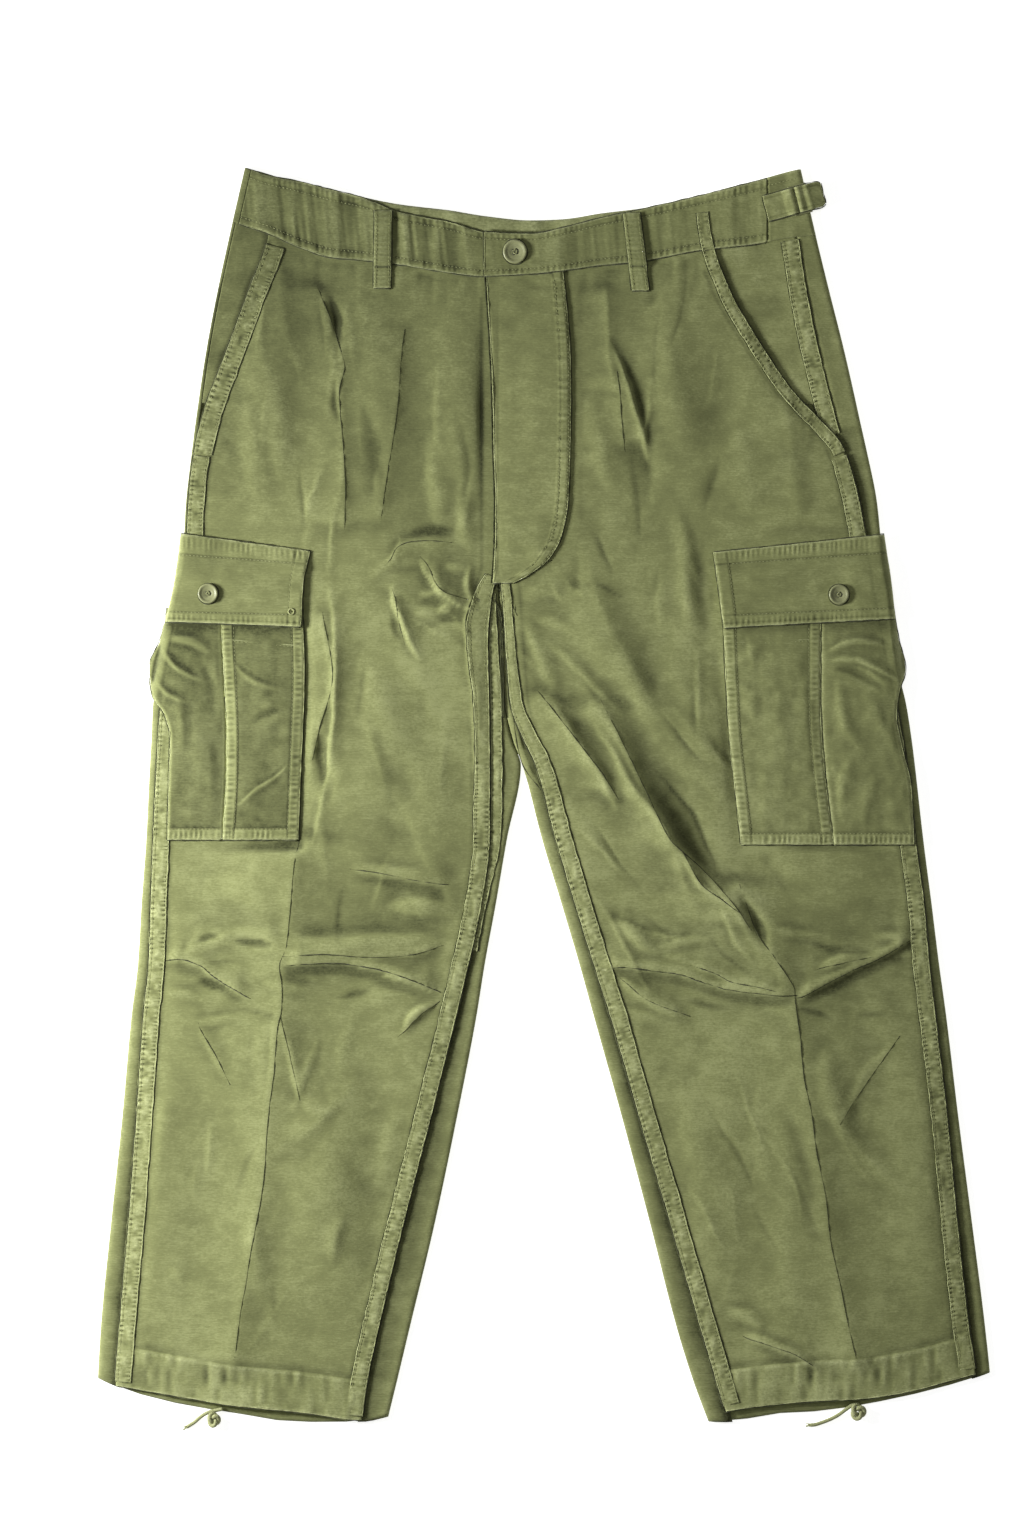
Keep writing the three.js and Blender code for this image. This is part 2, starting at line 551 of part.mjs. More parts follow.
// The fly strip lies over both front panels where they meet
function flyStrip() {
  const heights = [430, 418, ...steps(400, 200, 25), 200, 190, 181, 174];
  const shares = [0, 0.03, 0.25, 0.5, 0.75, 0.84, 0.97, 1];
  const lower = heights.map((level) => shares.map((share) => {
    const place = (at) => mix(read(FLY, 'y', 'left', at), read(FLY, 'y', 'right', at), share);
    const top = level === heights[0] ? 1 : 0;
    const [x, y] = settle(level, place, (at) => (waistAt('seam', at) - GAP - level) * top);
    const panel = frontHeight(x < -37 ? RIGHT : LEFT, x, y);
    return [x, y, panel + 2 * GAP];
  }));
  const wallAt = (i, j) => (j === 1 || j === 5 || j === 6 ? STRAP_CLOTH + 0.4 : STRAP_CLOTH);
  return patch(lower, wallAt);
}

// What lies round a leg's outer edge hangs down past it
function pocketFloor(side, x, y) {
  const edge = legAt(side, 'edge', y);
  const past = Math.max(0, (edge - x) * side.inward + 3);
  const inner = legAt(side, 'inseam', y);
  const outer = legAt(side, 'front', y);
  const share = clamp((x - outer) / (inner - outer));
  const bow = BOW * Math.sqrt(4 * share * (1 - share));
  const onSeam = SEAM_RISE * smooth(SEAM_BAND + 14, SEAM_BAND, (x - outer) * side.inward);
  const level = FRONT_LEVEL + bow + onSeam + 2 * GAP;
  return Math.max(0.8, level - 0.09 * past * past);
}
function pocketHalf(side, from, to) {
  const bottom = side.pocket[side.pocket.length - 1].y;
  const heights = [POCKET_TOP, POCKET_TOP - 2, ...steps(142, bottom + POCKET_BORDER, 22),
    bottom + POCKET_BORDER, bottom + SEAM_LIP, bottom];
  const margins = [0, SEAM_LIP, POCKET_BORDER];
  const shares = [0.34, 0.66];
  const lower = heights.map((y) => {
    const start = read(side.pocket, 'y', from, y);
    const finish = read(side.pocket, 'y', to, y) - Math.sign(side.inward) * GAP;
    const way = Math.sign(finish - start);
    const places = [
      ...margins.map((margin) => start + way * margin),
      ...shares.map((share) => mix(start, finish, share)),
      ...[...margins].reverse().map((margin) => finish - way * margin),
    ];
    const low = smooth(bottom, bottom + 40, y) * smooth(138, 104, y);
    return places.map((x) => {
      const share = clamp((x - start) / (finish - start));
      return [x, y, pocketFloor(side, x, y) + POCKET_PUFF * low * Math.sin(Math.PI * share)];
    });
  });
  const last = heights.length - 2;
  const wallAt = (i, j) => {
    const border = i === 1 || i === last || i === last - 1 || j === 1 || j === lower[0].length - 2;
    return CLOTH + (border ? BORDER_RISE : 0);
  };
  return patch(lower, wallAt);
}

// A flap lies on the panel at its top and on the pocket's mouth at its bottom
function flapFloor(side, x, y) {
  return pocketFloor(side, x, y) + FLAP_LIFT * smooth(198, 184, y);
}
function flap(side) {
  const line = (points, name, v) => read(points.map((point, i) => ({ ...point, v: i / 2 })), 'v', name, v);
  const across = [0, 0.012, 0.03, 0.06, 0.25, 0.5, 0.75, 0.9, 0.99, 1];
  const down = [0, 0.02, 0.14, 0.3, 0.6, 0.86, 0.98, 1];
  const lower = down.map((v) => across.map((u) => {
    const x = mix(line(side.flap.outer, 'x', v), line(side.flap.inner, 'x', v), u);
    const y = mix(line(side.flap.outer, 'y', v), line(side.flap.inner, 'y', v), u);
    return [x, y, flapFloor(side, x, y)];
  }));
  const wallAt = (i, j) => {
    const border = i === 1 || i === 6 || j === 1 || j === 8;
    return STRAP_CLOTH + (border ? BORDER_RISE : 0);
  };
  return patch(lower, wallAt);
}

// A belt loop over the waistband, tacked down on the panel under it
function beltLoop(topX, bottomX, topY, bottomY, side) {
  const width = 14;
  const seam = waistAt('seam', mix(topX, bottomX, 0.7));
  const heights = [topY, topY - 3, mix(topY, seam, 0.5), seam + 4, seam - 1, seam - 6, bottomY + 4, bottomY];
  const shares = [-0.5, -0.42, 0.42, 0.5];
  const lower = heights.map((y) => shares.map((share) => {
    const x = mix(topX, bottomX, (topY - y) / (topY - bottomY)) + share * width;
    const band = bandFloor(x, Math.max(y, seam)) + BAND_CLOTH + GAP;
    const panel = frontHeight(side, x, y) + GAP;
    const slack = 0.8 * smooth(topY, topY - 10, y);
    return [x, y, mix(panel, band + slack, smooth(seam - 6, seam - 1, y)) + GAP / 2];
  }));
  return patch(lower, (i, j) => (j === 0 || j === 3 ? STRAP_CLOTH - 0.3 : STRAP_CLOTH));
}

// The side adjuster, laid out along a slanted line on the wearer's left of the band
const ADJUSTER = { x: 181.5, y: 480.5, slope: 15, height: 21, bar: 3, slot: 4, level: BAND_ROLL + GAP };
const BUCKLE_START = 20.5;
const BUCKLE_LENGTH = 3 * ADJUSTER.bar + 2 * ADJUSTER.slot;
const BUCKLE_THICKNESS = 2;
function adjusterPoint(along, up, z) {
  const angle = THREE.MathUtils.degToRad(ADJUSTER.slope);
  return [
    ADJUSTER.x + along * Math.cos(angle) - up * Math.sin(angle),
    ADJUSTER.y + along * Math.sin(angle) + up * Math.cos(angle),
    z,
  ];
}
// A strap: a row for each place along it, with its lower face's height over the band
function strap(profile, height) {
  const shares = [-0.5, -0.4, 0.4, 0.5];
  const lower = profile.map(({ along, rise }) => (
    shares.map((share) => adjusterPoint(along, share * height, ADJUSTER.level + rise))));
  return patch(lower, () => STRAP_CLOTH - 0.2);
}
const OVER_BAR = BUCKLE_THICKNESS + GAP;
const TAB_PROFILE = [
  { along: 0, rise: 0 },
  { along: 8, rise: 0 },
  { along: 15, rise: 0.4 },
  { along: 19.4, rise: OVER_BAR },
  { along: 22, rise: OVER_BAR + 0.6 },
  { along: 24.4, rise: OVER_BAR },
  { along: 25.6, rise: 0.9 },
];
const END_PROFILE = [
  { along: 25.9, rise: 0.9 },
  { along: 27.1, rise: OVER_BAR },
  { along: 29, rise: OVER_BAR + 0.6 },
  { along: 31.6, rise: OVER_BAR },
  { along: 33, rise: OVER_BAR - 0.3 },
  { along: 36, rise: OVER_BAR + 0.2 },
  { along: 39.5, rise: OVER_BAR - 0.6 },
  { along: 46, rise: OVER_BAR - 1.6 },
  { along: 48.5, rise: OVER_BAR - 2 },
];
function buckle() {
  const half = ADJUSTER.height / 2 + 1.6;
  const outline = new THREE.Shape();
  outline.moveTo(0, -half);
  outline.lineTo(BUCKLE_LENGTH, -half);
  outline.lineTo(BUCKLE_LENGTH, half);
  outline.lineTo(0, half);
  const slots = [
    { start: ADJUSTER.bar, rim: 1.2 },
    { start: 2 * ADJUSTER.bar + ADJUSTER.slot, rim: 1.4 },
  ];
  for (const { start, rim } of slots) {
    const slot = new THREE.Path();
    slot.moveTo(start, -half + rim);
    slot.lineTo(start, half - rim);
    slot.lineTo(start + ADJUSTER.slot, half - rim);
    slot.lineTo(start + ADJUSTER.slot, -half + rim);
    outline.holes.push(slot);
  }
  const geometry = new THREE.ExtrudeGeometry(outline, { depth: BUCKLE_THICKNESS, bevelEnabled: false });
  const position = geometry.getAttribute('position');
  for (let i = 0; i < position.count; i += 1) {
    const level = ADJUSTER.level + position.getZ(i);
    const point = adjusterPoint(BUCKLE_START + position.getX(i), position.getY(i), level);
    position.setXYZ(i, ...point);
  }
  return geometry;
}

// A sewn-through button: a rim round a dished face
function button(diameter) {
  const r = diameter / 2;
  const profile = [
    [0, 0], [r * 0.9, 0], [r, BUTTON_THICKNESS * 0.4],
    [r * 0.94, BUTTON_THICKNESS], [r * 0.78, BUTTON_THICKNESS],
    [r * 0.66, BUTTON_THICKNESS * 0.68], [0, BUTTON_THICKNESS * 0.6],
  ];
  const geometry = new THREE.LatheGeometry(profile.map(([x, y]) => new THREE.Vector2(x, y)), 20);
  return geometry.rotateX(Math.PI / 2);
}

// A drawstring's free end, and the knot beside it
function cord(route) {
  const path = new THREE.CatmullRomCurve3(route.map((point) => new THREE.Vector3(...point)));
  const section = new THREE.Shape();
  section.absarc(0, 0, CORD_DIAMETER / 2, 0, 2 * Math.PI);
  const along = { steps: 12, curveSegments: 4, extrudePath: path, bevelEnabled: false };
  return new THREE.ExtrudeGeometry(section, along);
}
function knot() {
  return new THREE.SphereGeometry(KNOT_RADIUS, 10, 6).scale(1, 1.2, 0.5);
}

const TWILL = 0x8c935f;
const SHADED_TWILL = 0x70764a;
const BUTTON_OLIVE = 0x7b7f50;
const BUCKLE_OLIVE = 0x6f7548;
const group = new THREE.Group();
function add(name, geometry, color = TWILL, roughness = 0.9) {
  const mesh = new THREE.Mesh(geometry, new THREE.MeshStandardMaterial({ color, roughness, metalness: 0 }));
  mesh.name = name;
  group.add(mesh);
  return mesh;
}

for (const [name, side] of [['right', RIGHT], ['left', LEFT]]) {
  add(`back_panel_${name}`, backPanel(side), SHADED_TWILL);
  add(`front_panel_${name}`, frontPanel(side));
  add(`pocket_facing_${name}`, pocketFacing(side));
  add(`cargo_pocket_aft_${name}`, pocketHalf(side, 'aft', 'pleat'));
  add(`cargo_pocket_fore_${name}`, pocketHalf(side, 'pleat', 'fore'));
  add(`cargo_flap_${name}`, flap(side));
}
add('waistband_back', backBand(), SHADED_TWILL);
add('waistband_front_right', frontBand(-242, UNDERLAP_END, 18, () => 0));
add('waistband_front_left', frontBand(FLY_END, 182.6, 18, flyLift));
add('fly_strip', flyStrip());
add('belt_loop_right', beltLoop(-131.5, -132.5, 479, 415.5, RIGHT));
add('belt_loop_left', beltLoop(71.5, 79, 477, 413.5, LEFT));
add('adjuster_tab', strap(TAB_PROFILE, ADJUSTER.height));
add('adjuster_buckle', buckle(), BUCKLE_OLIVE, 0.6);
add('adjuster_end', strap(END_PROFILE, ADJUSTER.height));

const seat = (x, y, z) => [x, y, z + GAP];
const waistSeat = bandFloor(-23.8, 446) + flyLift(-23.8) + BAND_CLOTH;
add('waist_button', button(WAIST_BUTTON), BUTTON_OLIVE, 0.5).position.set(...seat(-23.8, 444.8, waistSeat));
for (const [name, side, x, y] of [['right', RIGHT, -274.7, 165.2], ['left', LEFT, 241.1, 164.4]]) {
  const top = flapFloor(side, x, y) + STRAP_CLOTH + 0.2;
  add(`flap_button_${name}`, button(FLAP_BUTTON), BUTTON_OLIVE, 0.5).position.set(...seat(x, y, top));
}
for (const [name, route, place] of [['right', RIGHT_CORD, RIGHT_KNOT], ['left', LEFT_CORD, LEFT_KNOT]]) {
  add(`hem_cord_${name}`, cord(route), TWILL);
  add(`hem_knot_${name}`, knot(), TWILL).position.set(...place, KNOT_RADIUS * 0.5 + 1.5);
}

export default group;
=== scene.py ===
# %% [markdown]
# Cargo trousers in washed cotton twill, laid flat with the front side up.
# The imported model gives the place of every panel. This notebook makes the cloth that
# is seen: fine surfaces with folds and puckered seams, buttons, a buckle and two cords.
# All tables below are in millimetres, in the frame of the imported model.

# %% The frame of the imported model
import math

import bpy
import numpy as np
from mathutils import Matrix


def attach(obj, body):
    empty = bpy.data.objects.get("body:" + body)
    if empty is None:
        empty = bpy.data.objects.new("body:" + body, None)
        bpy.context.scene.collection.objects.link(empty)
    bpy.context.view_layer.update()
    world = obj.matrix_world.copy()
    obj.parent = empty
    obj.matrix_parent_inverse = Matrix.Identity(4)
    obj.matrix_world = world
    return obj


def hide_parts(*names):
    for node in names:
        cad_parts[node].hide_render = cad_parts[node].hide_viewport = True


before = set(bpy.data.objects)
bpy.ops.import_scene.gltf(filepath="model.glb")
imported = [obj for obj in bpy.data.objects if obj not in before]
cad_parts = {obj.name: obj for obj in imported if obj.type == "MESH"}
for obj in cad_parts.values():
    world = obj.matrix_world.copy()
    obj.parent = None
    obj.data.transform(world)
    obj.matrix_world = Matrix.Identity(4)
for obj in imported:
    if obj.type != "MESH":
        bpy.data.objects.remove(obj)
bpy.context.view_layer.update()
MM = 0.001
print("packed nodes:", len(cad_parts))

# %% [markdown]
# The camera looks straight down on the table. A long lens far away keeps the legs
# parallel, so the outline has hardly any perspective.

# %% Camera over the table
VIEW_CENTRE = (-26.2, 22.6)
VIEW_TALL = 1259.5
LENS = 100.0
FILM = 36.0
camera_data = bpy.data.cameras.new("camera")
camera_data.lens = LENS
camera_data.sensor_width = FILM
camera_data.clip_end = 20.0
camera = bpy.data.objects.new("camera", camera_data)
camera.location = (VIEW_CENTRE[0] * MM, VIEW_CENTRE[1] * MM, VIEW_TALL * MM * LENS / FILM)
bpy.context.collection.objects.link(camera)
bpy.context.scene.camera = camera
print("camera height", round(camera.location.z, 3), "m")

# %% [markdown]
# A mesh is made from whole arrays of points. Grids of points become sheets: the outer
# grid is what is seen, the inner grid is the other face of the cloth, and strips close
# the rim between them. The volume's sign tells whether the faces point outwards.

# %% From arrays to meshes


def mesh_piece(name, points, quads, tone=None, underside=()):
    """Makes an object from points in millimetres and rows of four corner numbers.

    The underside is one more face, whose corners go round the rim.
    """
    corners = np.concatenate([quads.ravel(), np.asarray(underside, dtype=int)]).astype(np.int32)
    starts = np.arange(0, quads.size + (1 if len(underside) else 0), 4, dtype=np.int32)
    mesh = bpy.data.meshes.new(name)
    mesh.vertices.add(len(points))
    mesh.vertices.foreach_set("co", (points * MM).astype(np.float32).ravel())
    mesh.loops.add(len(corners))
    mesh.loops.foreach_set("vertex_index", corners)
    mesh.polygons.add(len(starts))
    mesh.polygons.foreach_set("loop_start", starts)
    mesh.polygons.foreach_set("use_smooth", np.ones(len(starts), dtype=bool))
    mesh.update(calc_edges=True)
    mark = mesh.attributes.new("tone", "FLOAT", "POINT")
    mark.data.foreach_set("value",
                          (np.zeros(len(points)) if tone is None else tone).astype(np.float32).ravel())
    piece = bpy.data.objects.new(name, mesh)
    bpy.context.collection.objects.link(piece)
    return piece


def grid_quads(rows, columns, start=0, around=False):
    """Corner numbers of a grid's quads. With around, the last column meets the first."""
    number = start + np.arange(rows * columns).reshape(rows, columns)
    if around:
        number = np.concatenate([number, number[:, :1]], axis=1)
    corners = (number[:-1, :-1], number[:-1, 1:], number[1:, 1:], number[1:, :-1])
    return np.stack(corners, axis=-1).reshape(-1, 4)


def outward(points, quads):
    """Turns all quads over where the closed mesh's signed volume is negative."""
    a, b, c, d = (points[quads[:, k]] for k in range(4))
    volume = np.einsum("ij,ij->i", a, np.cross(b, c)) + np.einsum("ij,ij->i", a, np.cross(c, d))
    return quads if volume.sum() > 0 else quads[:, ::-1]


def sheet_piece(name, outer, inner, tone=None):
    """A closed sheet of cloth between two grids of the same size."""
    rows, columns = outer.shape[:2]
    count = rows * columns
    top = np.arange(count).reshape(rows, columns)
    rim = np.concatenate([top[0, :-1], top[:-1, -1], top[-1, :0:-1], top[:0:-1, 0]])
    following = np.roll(rim, -1)
    faces = [
        grid_quads(rows, columns),
        grid_quads(rows, columns, count)[:, ::-1],
        np.stack([rim, rim + count, following + count, following], axis=1),
    ]
    quads = np.concatenate(faces)
    points = np.concatenate([outer.reshape(-1, 3), inner.reshape(-1, 3)])
    marks = np.zeros((rows, columns)) if tone is None else tone
    marks = np.concatenate([marks.ravel(), marks.ravel()])
    return mesh_piece(name, points, outward(points, quads), marks)


def draped_piece(name, outer, wall, tone, narrow=False):
    """A sheet whose underside is one face from rim to rim, for cloth that lies on cloth.

    A narrow piece has an even number of columns, and a quad below each of its rows.
    """
    rows, columns = outer.shape[:2]
    count = rows * columns
    top = np.arange(count).reshape(rows, columns)
    rim = np.concatenate([top[0, :-1], top[:-1, -1], top[-1, :0:-1], top[:0:-1, 0]])
    below = count + np.arange(len(rim))
    quads = np.concatenate([
        grid_quads(rows, columns),
        np.stack([rim, below, np.roll(below, -1), np.roll(rim, -1)], axis=1),
    ])
    under = below[::-1]
    if narrow:
        left, right = count + -np.arange(rows) % len(rim), count + columns - 1 + np.arange(rows)
        across = np.stack([left[:-1], left[1:], right[1:], right[:-1]], axis=1)
        far_end = count + columns + rows - 2
        quads = np.concatenate([quads, across, end_cap(count, columns, False),
                                end_cap(far_end, columns, False)])
        under = below[:0]
    points = outer.reshape(-1, 3)
    points = np.concatenate([points, points[rim] - [0, 0, wall]])
    marks = np.concatenate([tone.ravel(), tone.ravel()[rim]])
    a, b, c, d = (points[quads[: (rows - 1) * (columns - 1), k]] for k in range(4))
    if np.cross(c - a, d - b)[:, 2].sum() < 0:
        quads, under = quads[:, ::-1], under[::-1]
    return mesh_piece(name, points, quads, marks, under)


def end_cap(first, sides, last):
    """Quads across a ring with an even number of sides."""
    k = np.arange(sides // 2 - 1)
    low, high = k, sides - 1 - k
    corners = (low, low + 1, high - 1, high) if last else (low, high, high - 1, low + 1)
    return first + np.stack(corners, axis=1)


def closed_tube(rings, sides):
    """All quads of a tube of rings, with a cap at both ends."""
    return np.concatenate([
        grid_quads(rings, sides, around=True),
        end_cap(0, sides, False),
        end_cap((rings - 1) * sides, sides, True),
    ])


def tube_piece(name, path, radius, sides=10, tone=None):
    """A round tube along a path, with closed ends.

    A point at angle a is path + radius (cos a * side + sin a * up), where side is
    square to the path and level.
    """
    path = np.asarray(path, dtype=float)
    radius = np.broadcast_to(np.asarray(radius, dtype=float), (len(path),))
    tangent = np.gradient(path, axis=0)
    tangent /= np.linalg.norm(tangent, axis=1, keepdims=True)
    side = np.cross(tangent, [0.0, 0.0, 1.0])
    side /= np.linalg.norm(side, axis=1, keepdims=True) + 1e-9
    up = np.cross(side, tangent)
    angle = np.linspace(0, 2 * np.pi, sides, endpoint=False)
    ring = np.cos(angle)[None, :, None] * side[:, None] + np.sin(angle)[None, :, None] * up[:, None]
    rings = path[:, None] + radius[:, None, None] * ring
    first = path[:1, None] + 0.02 * radius[0] * ring[:1]
    last = path[-1:, None] + 0.02 * radius[-1] * ring[-1:]
    rings = np.concatenate([first, rings, last])
    points = rings.reshape(-1, 3)
    return mesh_piece(name, points, outward(points, closed_tube(len(rings), sides)), tone)


print("mesh helpers ready")

# %% [markdown]
# Shapes are functions of the place on the garment. A table's columns are read on a
# smooth curve through its rows, with slopes that never overshoot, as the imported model
# does. Folds are soft ridges along arcs, and small unevenness is a seeded noise.

# %% Curves, folds and noise


def read(table, along, name, value):
    """Cubic Hermite through the rows, with the harmonic mean of neighbouring slopes."""
    rows = sorted(table, key=lambda row: row[along])
    x = np.array([row[along] for row in rows], dtype=float)
    y = np.array([row[name] for row in rows], dtype=float)
    secant = np.diff(y) / np.diff(x)
    before, after = secant[:-1], secant[1:]
    same = before * after > 0
    middle = np.where(same, 2 * before * after / np.where(same, before + after, 1.0), 0.0)
    slope = np.concatenate([secant[:1], middle, secant[-1:]])
    value = np.asarray(value, dtype=float)
    i = np.clip(np.searchsorted(x, value) - 1, 0, len(x) - 2)
    width = x[i + 1] - x[i]
    t = np.clip((value - x[i]) / width, 0, 1)
    inside = (y[i] * (2 * t**3 - 3 * t**2 + 1) + y[i + 1] * (3 * t**2 - 2 * t**3)
              + width * (slope[i] * (t**3 - 2 * t**2 + t) + slope[i + 1] * (t**3 - t**2)))
    past = np.where(value < x[0], value - x[0], np.where(value > x[-1], value - x[-1], 0.0))
    return inside + past * np.where(value < x[0], secant[0], secant[-1])


def smooth(start, end, value):
    """0 at start, 1 at end, with level ends."""
    share = np.clip((value - start) / (end - start), 0, 1)
    return share * share * (3 - 2 * share)


def mix(a, b, share):
    return a + (b - a) * share


def noise(x, y, size_x, size_y, seed):
    """Seeded random heights on a lattice, blended smoothly between its points."""
    heights = np.random.default_rng(seed).uniform(-1, 1, (96, 96))
    u, v = x / size_x + 40.3, y / size_y + 40.7
    i, j = np.floor(u).astype(int), np.floor(v).astype(int)
    s, t = u - i, v - j
    s, t = s * s * (3 - 2 * s), t * t * (3 - 2 * t)

    def at(a, b):
        return heights[a % 96, b % 96]

    low = mix(at(i, j), at(i + 1, j), s)
    high = mix(at(i, j + 1), at(i + 1, j + 1), s)
    return mix(low, high, t)


def fold(x, y, row, fine=True):
    """height * profile(distance / width) along a wavering arc, thinner at both ends.

    The distance is to the arc whose middle stands bend away from the straight line.
    The profile is a soft bell, or for a steep fold a crest like exp(-|distance|), which
    falls off faster on the side that the sign of steep names, so that the fold leans.
    """
    length = math.hypot(row["x1"] - row["x0"], row["y1"] - row["y0"])
    ax, ay = (row["x1"] - row["x0"]) / length, (row["y1"] - row["y0"]) / length
    share = ((x - row["x0"]) * ax + (y - row["y0"]) * ay) / length
    aside = (y - row["y0"]) * ax - (x - row["x0"]) * ay - row["bend"] * 4 * share * (1 - share)
    if fine:
        aside = aside + 2.4 * noise(x, y, 26, 26, 21) + 0.5 * noise(x, y, 9, 9, 22)
    steep = row["steep"]
    inside = np.sin(np.pi * np.clip(share, 0, 1))
    leaning = np.where(aside * np.sign(steep) > 0, 1 - 1.3 * abs(steep), 1.0)
    width = row["width"] * (0.5 + 0.5 * inside) * leaning
    near = np.abs(aside) / width
    crest = np.exp(-(np.sqrt(near**2 + 0.03) - 0.17) * 1.5)
    profile = mix(np.exp(-(near**2)), crest, min(1.0, 2 * abs(steep)))
    return row["height"] * profile * inside**1.3


print("fold and noise helpers ready")

# %% [markdown]
# The garment's sizes. Right and left are the wearer's own, so the right leg is on the
# left of the picture. Each leg's table has a row for each height: the folded outer
# edge, the side seam, the front panel's two edges, and the folded edge at the fork.

# %% Sizes and tables, in millimetres
CLOTH = 1.2
BAND_CLOTH = 2.0
STRAP_CLOTH = 1.6
GAP = 0.3
ROLL_HEIGHT = 3.4
ROLL_WIDTH = 5.0
SEAM_LAP = 3.0
TIP = 0.8
FRONT_LEVEL = ROLL_HEIGHT + GAP + CLOTH
BOW = 1.3
SEAM_RISE = 0.7
SEAM_BAND = 13.0
HEM_DEPTH = 33.0
HEM_LEVEL = -495.0
WAIST_LEVEL = 448.0
BAND_LEVEL = FRONT_LEVEL + GAP
BAND_DROP = 1.0
BAND_END_LEVEL = ROLL_HEIGHT - GAP
BAND_ROLL = 5.0
BAND_TURN = 3.0
FLY_END = -49.0
UNDERLAP_END = 5.0
POCKET_BORDER = 9.0
BORDER_RISE = 0.5
POCKET_PUFF = 1.6
POCKET_TOP = 154.0
FLAP_LIFT = CLOTH + BORDER_RISE + GAP + 0.1


def table(names, rows):
    """Rows of numbers with named columns."""
    return [dict(zip(names.split(), row)) for row in rows]


LEG_COLUMNS = "y edge seam front inseam fork"
RIGHT_LEG = table(LEG_COLUMNS, [
    (515, -245, -242.5, -222, -37.4, -37.2),
    (458, -258, -255.5, -225.8, -37.4, -37.2),
    (414, -267.5, -265, -241.1, -37.4, -37.2),
    (365, -276.8, -274.3, -259.1, -37.4, -37.2),
    (314, -284.5, -281.5, -278, -37.4, -37.2),
    (285, -288.3, -285.3, -285.3, -37.4, -37.2),
    (240, -293.5, -290.5, -290.5, -37.4, -37.2),
    (190, -296.5, -293, -293, -37.4, -37.2),
    (165, -302.5, -298.5, -298.5, -43, -37.1),
    (128, -309.5, -305, -305, -46.5, -35.4),
    (100, -315, -309.5, -309.5, -46.3, -33.8),
    (74, -320.5, -313.5, -313.5, -45.5, -32.2),
    (45, -321.8, -315.3, -315.3, -45.2, -26.2),
    (25, -323, -316.5, -316.5, -45, -18.9),
    (-36, -326, -319.3, -319.3, -45.2, -30.4),
    (-88, -329.8, -321.3, -321.3, -51.8, -39.3),
    (-138, -332.8, -323, -323, -62.5, -48.5),
    (-180, -338, -327.3, -327.3, -72.5, -55.2),
    (-264, -345.7, -333, -333, -93.5, -71.4),
    (-350, -354.8, -339.5, -339.5, -115.5, -89.4),
    (-436, -363.2, -347, -347, -136, -110),
    (-480, -365.7, -350.5, -350.5, -145.5, -120.5),
    (-520, -367, -352, -352, -150.5, -130.3),
])
LEFT_LEG = table(LEG_COLUMNS, [
    (515, 210, 196, 130, -36.6, -36.8),
    (458, 223, 207.5, 136.3, -36.6, -36.8),
    (414, 233.7, 214.5, 151.5, -36.6, -36.8),
    (365, 246, 224.5, 179.8, -36.6, -36.8),
    (330, 254, 233, 204, -36.6, -36.8),
    (305, 259.5, 239.5, 228, -36.6, -36.8),
    (285, 264, 244.5, 244.5, -36.6, -36.8),
    (240, 273, 257.5, 257.5, -36.6, -36.8),
    (190, 278, 266.5, 266.5, -36.6, -36.8),
    (165, 282, 270.5, 270.5, -33.5, -36.7),
    (128, 286.5, 277, 277, -31, -35),
    (100, 291, 282.5, 282.5, -29, -33.4),
    (74, 297, 288, 288, -26.5, -31.8),
    (45, 301.5, 293.3, 293.3, -15.5, -25.2),
    (25, 304, 296.5, 296.5, -6, -17.6),
    (-36, 310.9, 303.5, 303.5, 10.5, -1.5),
    (-88, 317.6, 310.5, 310.5, 26, 14.2),
    (-138, 323.8, 314.8, 314.8, 41.5, 29),
    (-180, 329.6, 319.7, 319.7, 55, 40.6),
    (-264, 339.7, 329.6, 329.6, 79, 64),
    (-350, 350.8, 337.8, 337.8, 104.3, 86.8),
    (-436, 361.6, 347.3, 347.3, 129, 108.8),
    (-480, 366, 354, 354, 142, 122.5),
    (-520, 368, 357, 357, 153.5, 137.5),
])
WAIST = table("x back front seam", [
    (-262, 518.5, 518, 472.5),
    (-245, 514.5, 514, 466.8),
    (-225, 508, 507.4, 460),
    (-200, 503.1, 502.5, 448.9),
    (-175, 496.5, 495.9, 440.8),
    (-150, 490.6, 489.8, 438.5),
    (-118, 484.2, 477.6, 434.8),
    (-77, 479.3, 469.4, 428.2),
    (-48, 474.6, 461.2, 425.2),
    (-11, 471.1, 459.6, 427),
    (15, 472, 464.5, 429.6),
    (46, 476.8, 472.7, 434.2),
    (79, 480.9, 479.6, 437.5),
    (128, 491.6, 491, 446.5),
    (169, 502.2, 501.6, 451.2),
    (209, 512.9, 512.3, 458),
    (230, 516, 515.4, 459.5),
])
RIGHT_HEM = table("x front back", [
    (-368, -479, -476),
    (-352, -482.6, -483.5),
    (-315, -489.1, -495),
    (-282, -494.9, -501.5),
    (-256, -499, -505.6),
    (-200, -504.7, -513.4),
    (-148, -511.3, -513),
    (-128, -511.5, -509),
])
LEFT_HEM = table("x front back", [
    (134, -507, -512.9),
    (150, -503.9, -513.4),
    (185, -499, -506.8),
    (235, -494.9, -503.9),
    (251, -494.5, -501),
    (292, -489.1, -493.2),
    (354, -473.5, -476.8),
    (368, -470.5, -471.7),
])
FLY = table("y left right", [
    (430, -47.5, 15.5),
    (406, -46, 18),
    (365, -43.5, 21.3),
    (324, -41.8, 22.1),
    (283, -41, 21.3),
    (242, -39.6, 19.7),
    (214, -39.8, 14.8),
    (193, -40.6, 3.3),
    (181, -41.4, -12),
    (173, -42, -27),
])
